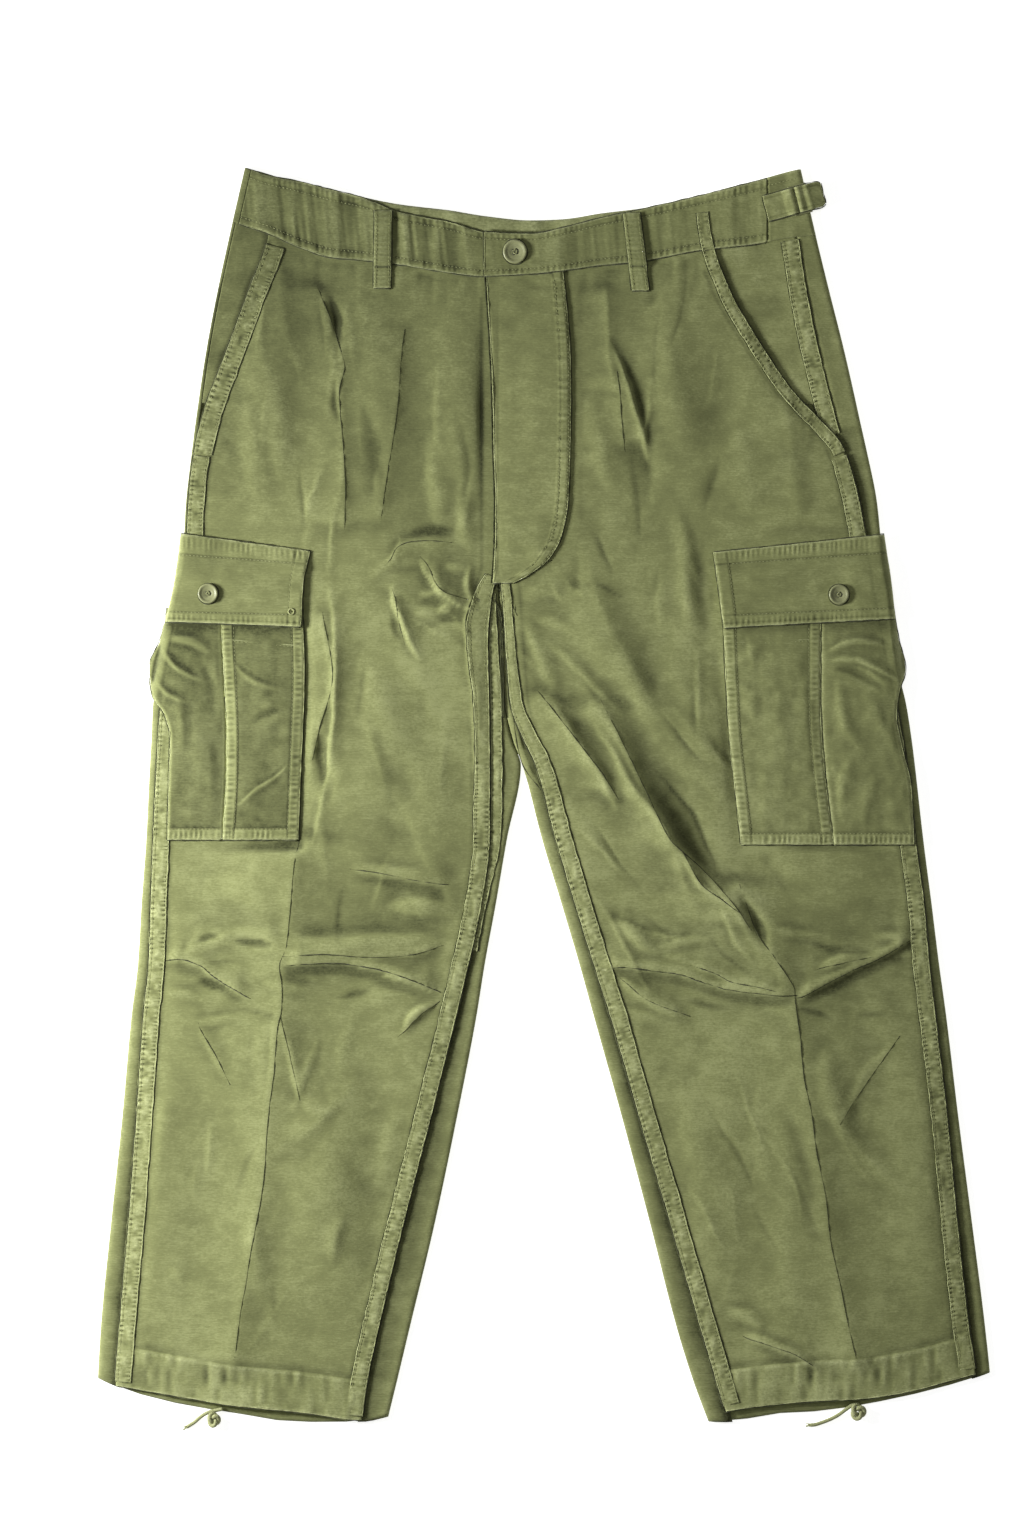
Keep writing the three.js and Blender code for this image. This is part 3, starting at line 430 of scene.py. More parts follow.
RIGHT_POCKET = table("y aft pleat fore", [
    (154, -308.5, -264, -197.6),
    (129, -314, -263.6, -196.4),
    (104, -323.5, -262.2, -195.8),
    (82, -320.5, -261, -196),
    (66, -310.5, -260.2, -196.6),
    (48, -306, -259.8, -197.4),
    (20, -306.8, -260, -198.6),
    (-36, -308.4, -263.2, -200.9),
])
LEFT_POCKET = table("y aft pleat fore", [
    (154, 286.2, 226.3, 145.6),
    (129, 290.3, 226.3, 147),
    (104, 296.3, 226.3, 148),
    (86, 291, 226.3, 149),
    (66, 288.5, 226.5, 150),
    (40, 293, 228, 152),
    (8, 300.5, 231, 155.6),
    (-40, 302.8, 237, 161),
])
FLAP_COLUMNS = "v outer_x outer_y inner_x inner_y"
RIGHT_FLAP = table(FLAP_COLUMNS, [
    (0, -297.7, 214.4, -191.5, 200),
    (0.5, -303.5, 172, -197, 172),
    (1, -310, 142.6, -198.8, 138.2),
])
LEFT_FLAP = table(FLAP_COLUMNS, [
    (0, 278.8, 213.6, 138.6, 198.9),
    (0.5, 284.5, 176, 142.4, 172),
    (1, 287.8, 145, 146.8, 137.4),
])
print("garment", RIGHT_LEG[-1]["edge"], "to", LEFT_LEG[-1]["edge"], "mm wide at the hems")

# %% [markdown]
# Folds, read from the photograph. The first rows of each side are the large
# ones that the imported model has too. The rest are the small creases that only a fine
# mesh can hold: steep ones where the knee was bent, soft ones at the hips and crotch.

# %% Folds of the two front panels
FOLD_COLUMNS = "x0 y0 x1 y1 bend height width steep"
RIGHT_FOLDS = table(FOLD_COLUMNS, [
    (-186, 425, -160, 216, 11, 3.2, 13, -0.5),
    (-112, 392, -136, 210, 3, 3.0, 13, -0.5),
    (-176, 186, -190, -50, 12, 2.2, 12, -0.5),
    (-132, 190, -70, 212, 10, 2.4, 9, -0.5),
    (-104, 194, -52, 152, -8, 2.8, 8, -0.55),
    (-124, 176, -98, 108, -5, 2.4, 9, -0.5),
    (-159, -60, -77, -71, 0, 1.5, 9, -0.4),
    (-218, -138, -84, -158, 6, 3.4, 9, -0.6),
    (-212, -120, -86, -116, -3, 1.5, 8, 0),
    (-306, -138, -206, -130, 10, 3, 9, -0.55),
    (-309, -142, -242, -172, 3, 1.8, 8, 0.4),
    (-204, -40, -256, -476, 4, 3.2, 24, 0.6),
])
RIGHT_CREASES = table(FOLD_COLUMNS, [
    (-140, -147, -88, -163, 4, 1.5, 4, 0.3),
    (-116, -192, -88, -170, 3, 1.2, 5, 0.3),
    (-290, -126, -262, -117, 2, -0.9, 4, 0),
    (-262, -117, -217, -124, 2, -1.3, 4, 0),
    (-283, -150, -250, -160, 0, -0.9, 4, 0),
    (-214, -186, -200, -246, 3, 0.5, 6, -0.4),
    (-200, -246, -170, -262, -2, 0.5, 6, 0),
    (-281, -192, -260, -232, 2, 0.3, 6, 0.3),
    (-309, -386, -293, -402, 1, 0.35, 4, 0),
    (-163, -340, -176, -386, -2, 0.8, 6, 0),
    (-240, -330, -232, -420, 2, 0.7, 8, 0),
    (-120, -250, -140, -330, 3, 0.6, 10, 0),
    (-300, -230, -322, -330, -4, 0.7, 10, 0),
    (-178, 412, -168, 352, 3, -1.2, 5, 0),
    (-168, 350, -166, 300, -3, -0.9, 5, 0),
    (-150, 330, -140, 232, 6, -0.8, 9, 0),
    (-120, 366, -117, 330, 2, -0.2, 5, 0),
    (-96, 300, -86, 210, 4, 0.9, 9, 0),
    (-222, 356, -214, 250, 3, 0.8, 10, 0),
    (-250, 320, -236, 240, 2, 0.6, 9, 0),
    (-70, 250, -60, 196, -3, 0.9, 7, 0),
    (-95, 190, -84, 168, -3, -1.1, 4, 0),
    (-88, 152, -72, 156, 2, 1, 4, 0),
    (-124, 150, -110, 126, -3, -1, 5, 0),
    (-112, 214, -72, 216, 5, -0.8, 5, 0),
    (-62, 190, -50, 150, -4, 1.3, 5, 0.3),
    (-62, 120, -52, 40, 2, 0.9, 6, 0),
    (-150, 120, -120, 20, 6, 0.8, 14, 0),
    (-110, 90, -96, -10, -5, 0.7, 13, 0),
    (-150, 20, -80, -30, -4, 0.6, 12, 0),
    (-187, 60, -176, -10, 3, -0.9, 6, 0),
    (-130, -90, -70, -98, 2, 0.7, 8, 0),
])
LEFT_FOLDS = table(FOLD_COLUMNS, [
    (54, 425, 54, 336, 0, 2.2, 13, 0.5),
    (52, 376, 86, 270, 3, 2.4, 12, 0.5),
    (-4, 90, 60, -14, 4, 2.4, 14, 0.4),
    (40, 66, 160, -98, -8, 3.0, 16, 0.5),
    (140, -44, 208, -166, 3, 2.6, 12, 0.5),
    (202, -150, 256, -474, -3, 3.2, 26, 0.6),
    (104, -132, 204, -160, 3, 3.4, 10, -0.6),
    (44, -142, 204, -172, 2, 2.6, 9, -0.55),
    (196, -162, 306, -112, -4, 3.4, 10, -0.6),
    (244, -158, 296, -144, -2, 1.5, 8, 0),
])
LEFT_CREASES = table(FOLD_COLUMNS, [
    (228, -139, 264, -131, 1, 1.2, 4, 0),
    (62, -148, 120, -180, -3, 1, 7, 0),
    (52, -160, 66, -200, 2, 0.9, 6, 0),
    (288, -200, 244, -264, -3, 0.3, 5, 0.3),
    (60, -212, 80, -300, 3, 0.7, 8, 0),
    (116, -51, 150, -92, -3, 1.2, 5, 0.3),
    (127, -60, 157, -96, -4, -0.9, 5, 0),
    (24, 60, 60, -20, 5, 0.9, 9, 0),
    (60, 120, 140, 0, -9, 0.9, 14, 0),
    (20, 150, 90, 60, 4, 0.8, 12, 0),
    (-20, 150, 8, 80, 4, 1, 7, 0),
    (-28, 182, 4, 193, 3, 1, 5, 0),
    (-20, 160, 30, 190, 3, 0.7, 7, 0),
    (38, 330, 60, 240, -4, 0.9, 10, 0),
    (70, 300, 84, 230, 3, -0.8, 9, 0),
    (98, 380, 112, 280, 4, 0.7, 13, 0),
    (150, 320, 168, 226, 5, 0.7, 13, 0),
    (200, 280, 206, 222, 2, 0.6, 9, 0),
    (106, 240, 120, 120, 5, 1, 10, 0),
    (120, 210, 134, 120, 3, -0.8, 8, 0),
    (168, -443, 226, -469, 2, 1.3, 5, 0.3),
    (150, -420, 180, -440, 2, 0.8, 6, 0),
    (100, -220, 130, -330, 5, 0.6, 12, 0),
    (290, -190, 318, -300, 4, 0.6, 12, 0),
    (196, -250, 222, -370, 3, -0.8, 9, 0),
    (230, -200, 250, -290, -3, 0.6, 10, 0),
    (96, -130, 60, -96, 3, 0.9, 8, 0),
    (156, -76, 186, -130, 3, -1, 6, 0),
])
ZONE_COLUMNS = "x0 x1 y0 y1 angle spread count length height width"
RIGHT_ZONES = table(ZONE_COLUMNS, [
    (-120, -48, 118, 200, -15, 35, 14, 30, 0.7, 3.0),
    (-300, -95, -190, -105, 0, 16, 18, 40, 0.7, 3.2),
    (-240, -60, 235, 425, 92, 12, 22, 70, 0.55, 5.0),
    (-330, -130, -450, -200, 78, 24, 20, 55, 0.45, 5.0),
    (-185, -60, -100, 120, 98, 26, 16, 70, 0.5, 6.0),
    (-200, -70, 190, 260, 60, 40, 8, 35, 0.5, 5.0),
])
LEFT_ZONES = table(ZONE_COLUMNS, [
    (-20, 60, 100, 200, 140, 30, 14, 30, 0.7, 3.0),
    (20, 200, -130, 120, -52, 12, 26, 70, 0.7, 4.5),
    (60, 300, -190, -105, -4, 16, 18, 40, 0.7, 3.2),
    (40, 220, 235, 425, 86, 12, 20, 70, 0.5, 5.0),
    (100, 330, -450, -200, -78, 22, 20, 55, 0.45, 5.0),
    (90, 150, 60, 200, 95, 15, 8, 50, 0.5, 5.0),
])


def scattered(zones, seed):
    """Small creases at seeded random places of each zone, as rows of a fold table."""
    random = np.random.default_rng(seed)
    rows = []
    for zone in zones:
        for _ in range(zone["count"]):
            x, y = random.uniform(zone["x0"], zone["x1"]), random.uniform(zone["y0"], zone["y1"])
            angle = math.radians(zone["angle"] + zone["spread"] * random.uniform(-1, 1))
            reach = zone["length"] * random.uniform(0.35, 0.8)
            dx, dy = reach * math.cos(angle), reach * math.sin(angle)
            rows.append((x - dx, y - dy, x + dx, y + dy, reach * random.uniform(-0.12, 0.12),
                         zone["height"] * random.uniform(-0.7, 1), zone["width"] * random.uniform(0.6, 1.6),
                         random.uniform(-0.5, 0.5)))
    return table(FOLD_COLUMNS, rows)


SIDES = {
    "right": {"leg": RIGHT_LEG, "hem": RIGHT_HEM, "main": RIGHT_FOLDS, "creases": RIGHT_CREASES,
              "scattered": scattered(RIGHT_ZONES, 301), "pocket": RIGHT_POCKET, "flap": RIGHT_FLAP,
              "inward": 1},
    "left": {"leg": LEFT_LEG, "hem": LEFT_HEM, "main": LEFT_FOLDS, "creases": LEFT_CREASES,
             "scattered": scattered(LEFT_ZONES, 302), "pocket": LEFT_POCKET, "flap": LEFT_FLAP,
             "inward": -1},
}
WIDE_RIGHT = table(FOLD_COLUMNS, [
    (-150, 440, -150, 240, 14, 1.6, 26, 0),
    (-210, 430, -232, 230, -10, 1.5, 24, 0),
    (-72, 430, -84, 215, 6, 1.6, 22, 0),
    (-120, 140, -140, -110, -16, 2.0, 34, 0),
    (-90, 60, -104, -120, 6, 1.4, 20, 0),
    (-292, -170, -318, -440, -6, 1.4, 26, 0),
    (-190, -190, -200, -440, 8, 1.5, 24, 0),
    (-150, -200, -164, -450, -8, 1.6, 22, 0),
    (-280, -70, -200, -90, 6, 1.3, 20, 0),
    (-150, -230, -230, -300, 5, 1.1, 16, 0.3),
])
WIDE_LEFT = table(FOLD_COLUMNS, [
    (110, 430, 118, 240, -12, 1.6, 28, 0),
    (170, 400, 190, 240, 8, 1.4, 24, 0),
    (30, 210, 120, 40, -14, 2.0, 26, 0.3),
    (10, 120, 130, -120, 14, 1.8, 20, 0.3),
    (100, 130, 150, -60, 8, 1.6, 22, 0),
    (180, -60, 290, -80, 8, 1.3, 22, 0),
    (110, -200, 150, -440, 8, 1.5, 26, 0),
    (190, -190, 214, -440, -6, 1.2, 18, 0),
    (280, -170, 312, -430, 8, 1.5, 26, 0),
    (230, -250, 300, -330, -4, 1.0, 14, 0.3),
])
SIDES["right"]["wide"] = WIDE_RIGHT
SIDES["left"]["wide"] = WIDE_LEFT
print("main folds:", {name: len(side["main"]) for name, side in SIDES.items()})

# %% [markdown]
# The main folds were pressed or sat in, and each has a sharp line where the cloth
# turns. Their lines are given point by point. Before the line, counted to the right or up,
# the cloth falls away over one distance, and past it over another. A small number
# named line is the radius of a thin dark tube along the fold, which paints the shade in
# its crease.

# %% Main folds along their own lines
LINE_COLUMNS = "name way height before past line path"
RIGHT_LINES = table(LINE_COLUMNS, [
    ("crease", "down", 5.0, 30, 26, 0.5, [(-200.9, -36.5), (-205.0, -56.2), (-208.3, -93.9),
        (-211.6, -124.2), (-217.3, -139.0), (-214.8, -157.0), (-215.7, -176.7), (-218.9, -192.3),
        (-221.4, -225.1), (-224.7, -249.7), (-227.1, -275.1), (-228.8, -302.2), (-232.1, -330.0),
        (-240.3, -372.7), (-244.4, -398.1), (-249.3, -426.0), (-255.0, -471.9)]),
    ("knee_under", "across", 3.4, 2.2, 11, 0.5, [(-213.2, -138.2), (-179.6, -136.5), (-159.9, -137.3),
        (-129.6, -143.1), (-104.1, -152.1), (-84.5, -160.3)]),
    ("knee_over", "across", 2.6, 3, 9, 0.35, [(-213.2, -130.8), (-179.6, -129.2), (-139.4, -131.6),
        (-106.6, -129.2), (-82.0, -121.8)]),
    ("knee_outer", "across", 3.0, 3, 10, 0.4, [(-312.4, -134.9), (-297.7, -133.2), (-280.4, -139.0),
        (-267.3, -149.6), (-239.4, -166.0)]),
    ("knee_outer_top", "across", 2.2, 5, 7, 0, [(-295.2, -128.3), (-282.1, -121.8), (-259.9, -116.8),
        (-240.3, -115.2), (-224.7, -117.7), (-213.2, -125.0)]),
    ("knee_corner", "across", 1.1, 2.5, 6, 0.35, [(-119.7, -197.2), (-113.2, -191.5), (-101.7, -179.2),
        (-85.3, -167.7)]),
    ("hip_outer", "down", 2.3, 20, 7, 0.4, [(-187.0, 417.8), (-177.1, 394.0), (-169.7, 372.7),
        (-164.0, 353.8), (-164.8, 345.6), (-168.1, 331.7), (-167.3, 312.8), (-164.8, 284.9),
        (-163.2, 250.5), (-164.0, 217.7)]),
    ("hip_inner", "down", 1.6, 22, 8, 0.3, [(-114.8, 381.7), (-117.8, 356.0), (-119.7, 325.1),
        (-123.8, 294.8), (-129.6, 258.7), (-134.5, 221.8)]),
    ("fork_one", "across", 1.7, 8, 9, 0.4, [(-101.7, 196.4), (-95.1, 189.0), (-84.5, 169.3),
        (-62.3, 161.1)]),
    ("fork_arc", "across", 1.8, 14, 3, 0.35, [(-131.2, 188.2), (-126.3, 193.1), (-118.1, 205.4),
        (-97.6, 209.5), (-75.4, 207.9)]),
    ("fork_down", "down", 0.9, 6, 8, 0.3, [(-124.6, 168.5), (-122.2, 160.3), (-119.7, 143.9),
        (-114.8, 123.4)]),
    ("shin_one", "down", 0.7, 3, 8, 0.25, [(-283.7, -185.7), (-281.3, -192.3), (-269.8, -212.0),
        (-257.5, -236.6)]),
    ("shin_two", "down", 1.2, 3, 9, 0.25, [(-215.7, -182.4), (-214.8, -187.4), (-207.5, -216.9),
        (-200.1, -249.7)]),
    ("pocket_side", "down", 2.2, 9, 5, 0.3, [(-182.0, 150.5), (-180.4, 139.8), (-173.8, 105.4),
        (-175.5, 84.0), (-183.7, 57.8), (-190.2, 29.1)]),
    ("fork_tongue", "down", 1.6, 1.3, 9, 0.55, [(-59.0, 163.0), (-64.8, 143.9), (-62.3, 118.5),
        (-59.0, 87.3), (-57.4, 49.6), (-55.8, 12.7)]),
    ("fork_tongue_inner", "down", 0.8, 2, 4, 0.3, [(-52.0, 158.0), (-54.0, 130.0), (-52.5, 90.0),
        (-51.5, 40.0)]),
    ("thigh_level", "across", 0.6, 3, 8, 0.2, [(-159.1, -59.4), (-134.5, -62.7), (-101.7, -69.3),
        (-75.4, -72.6)]),
])
LEFT_LINES = table(LINE_COLUMNS, [
    ("crease", "down", 5.0, 30, 26, 0.5, [(159.1, -72.6), (173.0, -111.1), (187.8, -132.4),
        (202.5, -154.6), (204.2, -161.9), (205.0, -171.0), (209.1, -199.7), (211.6, -229.2),
        (218.1, -260.3), (222.2, -291.5), (229.6, -327.6), (233.7, -364.5), (241.9, -402.2),
        (249.3, -438.3), (256.7, -469.4)]),
    ("knee_inner", "across", 3.6, 2.2, 11, 0.5, [(43.5, -141.4), (64.8, -139.8), (86.9, -142.3),
        (110.7, -145.5), (125.5, -150.5), (149.2, -157.8), (173.0, -161.1), (192.7, -162.8),
        (206.6, -162.8)]),
    ("knee_middle", "across", 2.0, 3, 7, 0.3, [(119.7, -138.2), (125.5, -139.8), (139.4, -144.7),
        (154.2, -152.1), (173.0, -155.4), (191.9, -160.3)]),
    ("knee_outer", "across", 3.6, 2.2, 11, 0.5, [(205.0, -164.4), (211.6, -163.6), (228.8, -154.6),
        (252.6, -142.3), (276.3, -131.6), (304.2, -115.2)]),
    ("knee_outer_top", "across", 1.8, 3, 7, 0.25, [(223.0, -141.4), (228.8, -139.8), (246.8, -135.7),
        (267.3, -131.6)]),
    ("diagonal_main", "down", 3.2, 20, 10, 0.35, [(45.9, 78.3), (68.1, 34.0), (91.8, -16.0),
        (104.1, -38.1), (127.9, -59.4), (154.2, -89.0), (168.9, -110.3)]),
    ("diagonal_low", "down", 1.5, 10, 3, 0.3, [(111.5, -44.7), (115.6, -51.2), (127.9, -72.6),
        (144.3, -84.9), (160.7, -97.2)]),
    ("diagonal_high", "down", 2.4, 18, 6, 0.3, [(-6.6, 86.5), (4.9, 72.6), (27.1, 43.9), (45.9, 19.3),
        (60.7, -3.7)]),
    ("hip_dart", "down", 1.5, 20, 8, 0.4, [(59.0, 347.3), (61.5, 327.6), (63.1, 304.6), (65.6, 281.7)]),
    ("hip_ridge", "down", 2.2, 12, 8, 0, [(50.8, 418.6), (51.7, 407.1), (53.3, 356.3), (60.7, 327.6)]),
    ("fork", "across", 1.8, 4, 8, 0.3, [(-32.8, 176.7), (-27.9, 180.8), (-11.5, 188.2), (6.6, 193.1)]),
    ("fork_edge", "down", 1.4, 3, 10, 0.3, [(-23.8, 160.3), (-26.2, 127.5), (-27.0, 78.3), (-19.7, 29.1),
        (-3.3, 4.5)]),
    ("fork_hub", "across", 1.6, 3, 5, 0.4, [(-40.0, 171.0), (-34.0, 167.0), (-28.0, 160.0),
        (-22.0, 148.0)]),
    ("shin_scratch", "down", 0.45, 4, 3, 0.25, [(290.3, -197.2), (287.8, -200.5), (256.7, -244.8),
        (241.1, -269.4)]),
    ("hem_fold", "across", 2.0, 3, 8, 0.3, [(162.4, -441.6), (168.1, -444.0), (189.4, -450.6),
        (208.3, -458.0), (228.0, -471.1)]),
    ("shin_level", "across", 1.4, 8, 3, 0.25, [(55.8, -143.1), (70.5, -155.4), (86.9, -167.7),
        (119.7, -180.0)]),
])


def line_fold(x, y, row):
    """height * exp(-distance / width), with a rounded crest and soft ends.

    The distance is counted along X for a line that runs down, else along Y. Ends fade
    over the first and last parts of the line.
    """
    path = np.array(row["path"])
    along, other, run, across = (1, 0, y, x) if row["way"] == "down" else (0, 1, x, y)
    path = path[np.argsort(path[:, along])]
    start, end = path[0, along], path[-1, along]
    aside = across - np.interp(run, path[:, along], path[:, other])
    share = (run - start) / (end - start)
    soft = min(0.3, 14.0 / (end - start))
    fade = smooth(-0.02, soft, share) * smooth(1.02, 1 - soft, share)
    width = np.where(aside < 0, row["before"], row["past"]) * (0.6 + 0.4 * fade)
    return row["height"] * fade * np.exp(-(np.sqrt((aside / width) ** 2 + 0.01) - 0.1))


SIDES["right"]["lines"] = RIGHT_LINES
SIDES["left"]["lines"] = LEFT_LINES
# These rows of the main folds have a line instead. The last creases of each table count
# twice, which makes them deeper.
HAVE_LINES = {"right": (0, 1, 3, 7, 9, 10, 11), "left": (0, 4, 5, 6, 7, 8, 9)}
DEEPER_CREASES = {"right": 2, "left": 3}
for name, side in SIDES.items():
    kept = [row for number, row in enumerate(side["main"]) if number not in HAVE_LINES[name]]
    deeper = side["creases"][-DEEPER_CREASES[name]:]
    side["folds"] = kept + side["creases"] + deeper + side["scattered"] + side["wide"]
print("lines:", len(RIGHT_LINES), len(LEFT_LINES), "folds:",
      {name: len(side["folds"]) for name, side in SIDES.items()})

# %% [markdown]
# The twill. Its colour varies in large soft patches from washing, with a fine weave in
# lines across the leg, and every raised seam is paler than the cloth beside it. Each
# mesh carries that paleness in a per-point attribute: above 0 is worn, below 0 is
# painted shade, as in the corner of a seam or the trough of a crease. Only nodes are used.

# %% A small class for shader maths


class Socket:
    """An output socket. Sums and products of sockets add Math nodes to its tree."""

    def __init__(self, tree, out):
        self.tree, self.out = tree, out

    def _math(self, kind, a, b):
        node = self.tree.nodes.new("ShaderNodeMath")
        node.operation = kind
        for slot, value in zip(node.inputs, (a, b)):
            if isinstance(value, Socket):
                self.tree.links.new(value.out, slot)
            else:
                slot.default_value = value
        return Socket(self.tree, node.outputs[0])

    def __add__(self, other):
        return self._math("ADD", self, other)

    def __mul__(self, other):
        return self._math("MULTIPLY", self, other)

    def __sub__(self, other):
        return self._math("SUBTRACT", self, other)

    def __rsub__(self, other):
        return self._math("SUBTRACT", other, self)

    __radd__, __rmul__ = __add__, __mul__

    def clamped(self, low=0.0, high=1.0):
        return self._math("MINIMUM", self._math("MAXIMUM", self, low), high)


class Finish:
    """A material whose nodes are added by type, settings and input values."""

    def __init__(self, name):
        self.material = bpy.data.materials.new(name)
        self.material.use_nodes = True
        self.tree = self.material.node_tree
        self.shader = self.tree.nodes["Principled BSDF"]

    def node(self, kind, settings=None, out=0, **inputs):
        made = self.tree.nodes.new(kind)
        for key, value in (settings or {}).items():
            setattr(made, key, value)
        for key, value in inputs.items():
            slot = made.inputs[int(key[1:]) if key.startswith("n") else key.replace("_", " ")]
            if isinstance(value, Socket):
                self.tree.links.new(value.out, slot)
            else:
                slot.default_value = value
        return Socket(self.tree, made.outputs[out])

    def place(self, scale=(1, 1, 1), turn=0.0):
        """Object coordinates, scaled and turned about Z."""
        where = self.node("ShaderNodeTexCoord", out=3)
        return self.node("ShaderNodeMapping", Vector=where, Scale=scale, Rotation=(0, 0, turn))

    def noise(self, scale, detail=2.0, stretch=(1, 1, 1), roughness=0.5):
        return self.node("ShaderNodeTexNoise", Vector=self.place(stretch), Scale=scale, Detail=detail,
                         Roughness=roughness)

    def blend(self, amount, low, high):
        """A colour between two, by an amount from 0 to 1."""
        return self.node("ShaderNodeMix", {"data_type": "RGBA"}, 2, n0=amount, n6=low, n7=high)

    def set(self, name, value):
        slot = self.shader.inputs[name]
        if isinstance(value, Socket):
            self.tree.links.new(value.out, slot)
        else:
            slot.default_value = value


print("shader helpers ready")

# %% [markdown]
# The washed twill mixes three colours: the cloth's own, a paler one where it is worn and
# a darker one for painted shade in corners and creases. The amount comes from the wear
# and painted shade that each piece carries, from soft patches of noise, and from a
# darkening towards the hips, made stronger towards the key light as painted shade.

# %% The washed twill and its relations
OLIVE = (0.25, 0.27, 0.104, 1)
OLIVE_PALE = (0.46, 0.49, 0.235, 1)
# The dark colour serves painted shade in corners and creases, dark wash patches and the darkening at the
# hips.
OLIVE_DARK = (0.044, 0.049, 0.015, 1)


def twill_finish(name, light=1.0, weave=1.0):
    """Olive, mixed with pale by wear and wash, and with dark as painted shade in the seams' corners and
    creases.
    """
    finish = Finish(name)
    tone = finish.node("ShaderNodeAttribute", {"attribute_name": "tone"}, 2)
    wash = finish.noise(9, 3, (1, 0.6, 1)) - 0.5
    mottle = finish.noise(70, 4, (1, 1.4, 1)) - 0.5
    fleck = finish.noise(620, 2, (0.55, 1.6, 1)) - 0.5
    lines = finish.noise(1500, 1, (0.05, 1, 1)) - 0.5
    speck = finish.noise(430, 3, (1, 1, 1), 0.7)
    # The positive part of the attribute is wear. The negative part is painted shade in corners and creases.
    worn = (tone * (speck * 2.6 - 0.45)).clamped(0.0, 1.0)
    shade = (0 - tone * (speck * 1.2 + 0.3)).clamped(0.0, 1.0)
    cloth = wash * 0.5 + mottle * 0.5 + fleck * 0.42 + lines * 0.3 + (speck - 0.5) * 0.3
    place = finish.node("ShaderNodeTexCoord", out=3)
    across = finish.node("ShaderNodeSeparateXYZ", Vector=place)
    up = finish.node("ShaderNodeSeparateXYZ", out=1, Vector=place)
    hips = finish.node("ShaderNodeMapRange", {"interpolation_type": "SMOOTHSTEP"}, n0=up,
                       n1=0.08, n2=0.46, n3=0.0, n4=0.46)
    # Darker towards the hips. The darkening grows towards the key light, as painted shade that evens out
    # its light.
    hip_darkening = hips * (0.63 - across * 2.7) + across * 0.1
    pale = (worn * 1.05 + cloth - hip_darkening * 0.25 + 0.05).clamped()
    dark = (shade - cloth * 0.8 + hip_darkening + 0.08).clamped()
    olive = tuple(light * c for c in OLIVE[:3]) + (1,)
    colour = finish.blend(dark, finish.blend(pale, olive, OLIVE_PALE), OLIVE_DARK)
    finish.set("Base Color", colour)
    finish.set("Roughness", 0.92)
    finish.set("Specular IOR Level", 0.18)
    finish.set("Sheen Weight", 0.12)
    finish.set("Sheen Roughness", 0.6)
    relief = fleck * 0.6 + lines * 0.5 + mottle * 0.5
    bump = finish.node("ShaderNodeBump", Height=relief, Strength=0.5 * weave, Distance=0.0006)
    finish.set("Normal", bump)
    return finish.material


TWILL = twill_finish("washed_twill")
# A copy of the twill, 3 per cent darker, for the back panels: painted shade on the layer that lies
# underneath.
TWILL_SHADED = twill_finish("washed_twill_inside", 0.97)
print("twill finishes made")

# %% [markdown]
# Buttons and buckle are moulded plastic with a faint cloudy colour and fine scratches.
# The cord and the sewing thread are twisted cotton, whose fibres are a fine bump.

# %% Buttons, buckle and cord


def moulded_finish(name, colour, roughness):
    """Moulded plastic: an even colour with faint clouds, and fine scratches as bump."""
    finish = Finish(name)
    cloud = finish.noise(260, 3)
    darker = tuple(0.7 * c for c in colour) + (1,)
    finish.set("Base Color", finish.blend(cloud, darker, tuple(1.25 * c for c in colour) + (1,)))
    finish.set("Roughness", cloud * 0.2 + (roughness - 0.1))
    scratch = finish.noise(900, 2, (0.2, 1, 1))
    finish.set("Normal", finish.node("ShaderNodeBump", Height=scratch, Strength=0.25, Distance=0.0002))
    return finish.material


BUTTON_FINISH = moulded_finish("button_plastic", (0.25, 0.262, 0.125), 0.42)
BUCKLE_FINISH = moulded_finish("buckle_plastic", (0.2, 0.212, 0.095), 0.5)


def thread_finish(name, low, high):
    """Sewing thread or cord: twisted strands as fine diagonal bands."""
    finish = Finish(name)
    strands = finish.node("ShaderNodeTexWave", {"bands_direction": "DIAGONAL"}, 1,
                          Vector=finish.place(), Scale=420.0, Distortion=1.5, Detail=1.0)
    blotch = finish.noise(300, 2)
    finish.set("Base Color", finish.blend((strands * 0.6 + blotch * 0.4).clamped(), low, high))
    finish.set("Roughness", 0.85)
    finish.set("Normal", finish.node("ShaderNodeBump", Height=strands, Strength=0.6, Distance=0.0003))
    return finish.material


THREAD = thread_finish("olive_thread", (0.2, 0.215, 0.08, 1), (0.42, 0.44, 0.21, 1))
CORD_FINISH = thread_finish("cotton_cord", (0.2, 0.215, 0.085, 1), (0.5, 0.52, 0.27, 1))
print("materials:", len(bpy.data.materials))


def dress(piece, finish, slot, *nodes):
    """Gives a piece its finish and its place in the garment."""
    piece.data.materials.append(finish)
    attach(piece, "root")
    if nodes:
        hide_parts(*nodes)
    return piece


# %% [markdown]
# Two cords close the hems. Only their free ends show, each with a knot, so each cord
# is as long as its end that lies on the table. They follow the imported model's routes.

# %% Drawstring ends
CORD_DIAMETER = 3.0
RIGHT_CORD = [
    (-263.5, -502.5, 3.1), (-268, -503.5, 3.1), (-273, -504.6, 3.1), (-278, -506.8, 3), (-282.5, -510, 2.3),
    (-286.5, -513.6, 1.7), (-292.5, -517.4, 1.6),
]
LEFT_CORD = [
    (254, -498.6, 3.1), (250, -501, 3.1), (245.5, -504.4, 2.9), (240.5, -508, 2.1), (235, -511, 1.7),
    (229, -513.4, 1.6), (223, -515.4, 1.6), (218.5, -516, 1.6),
]


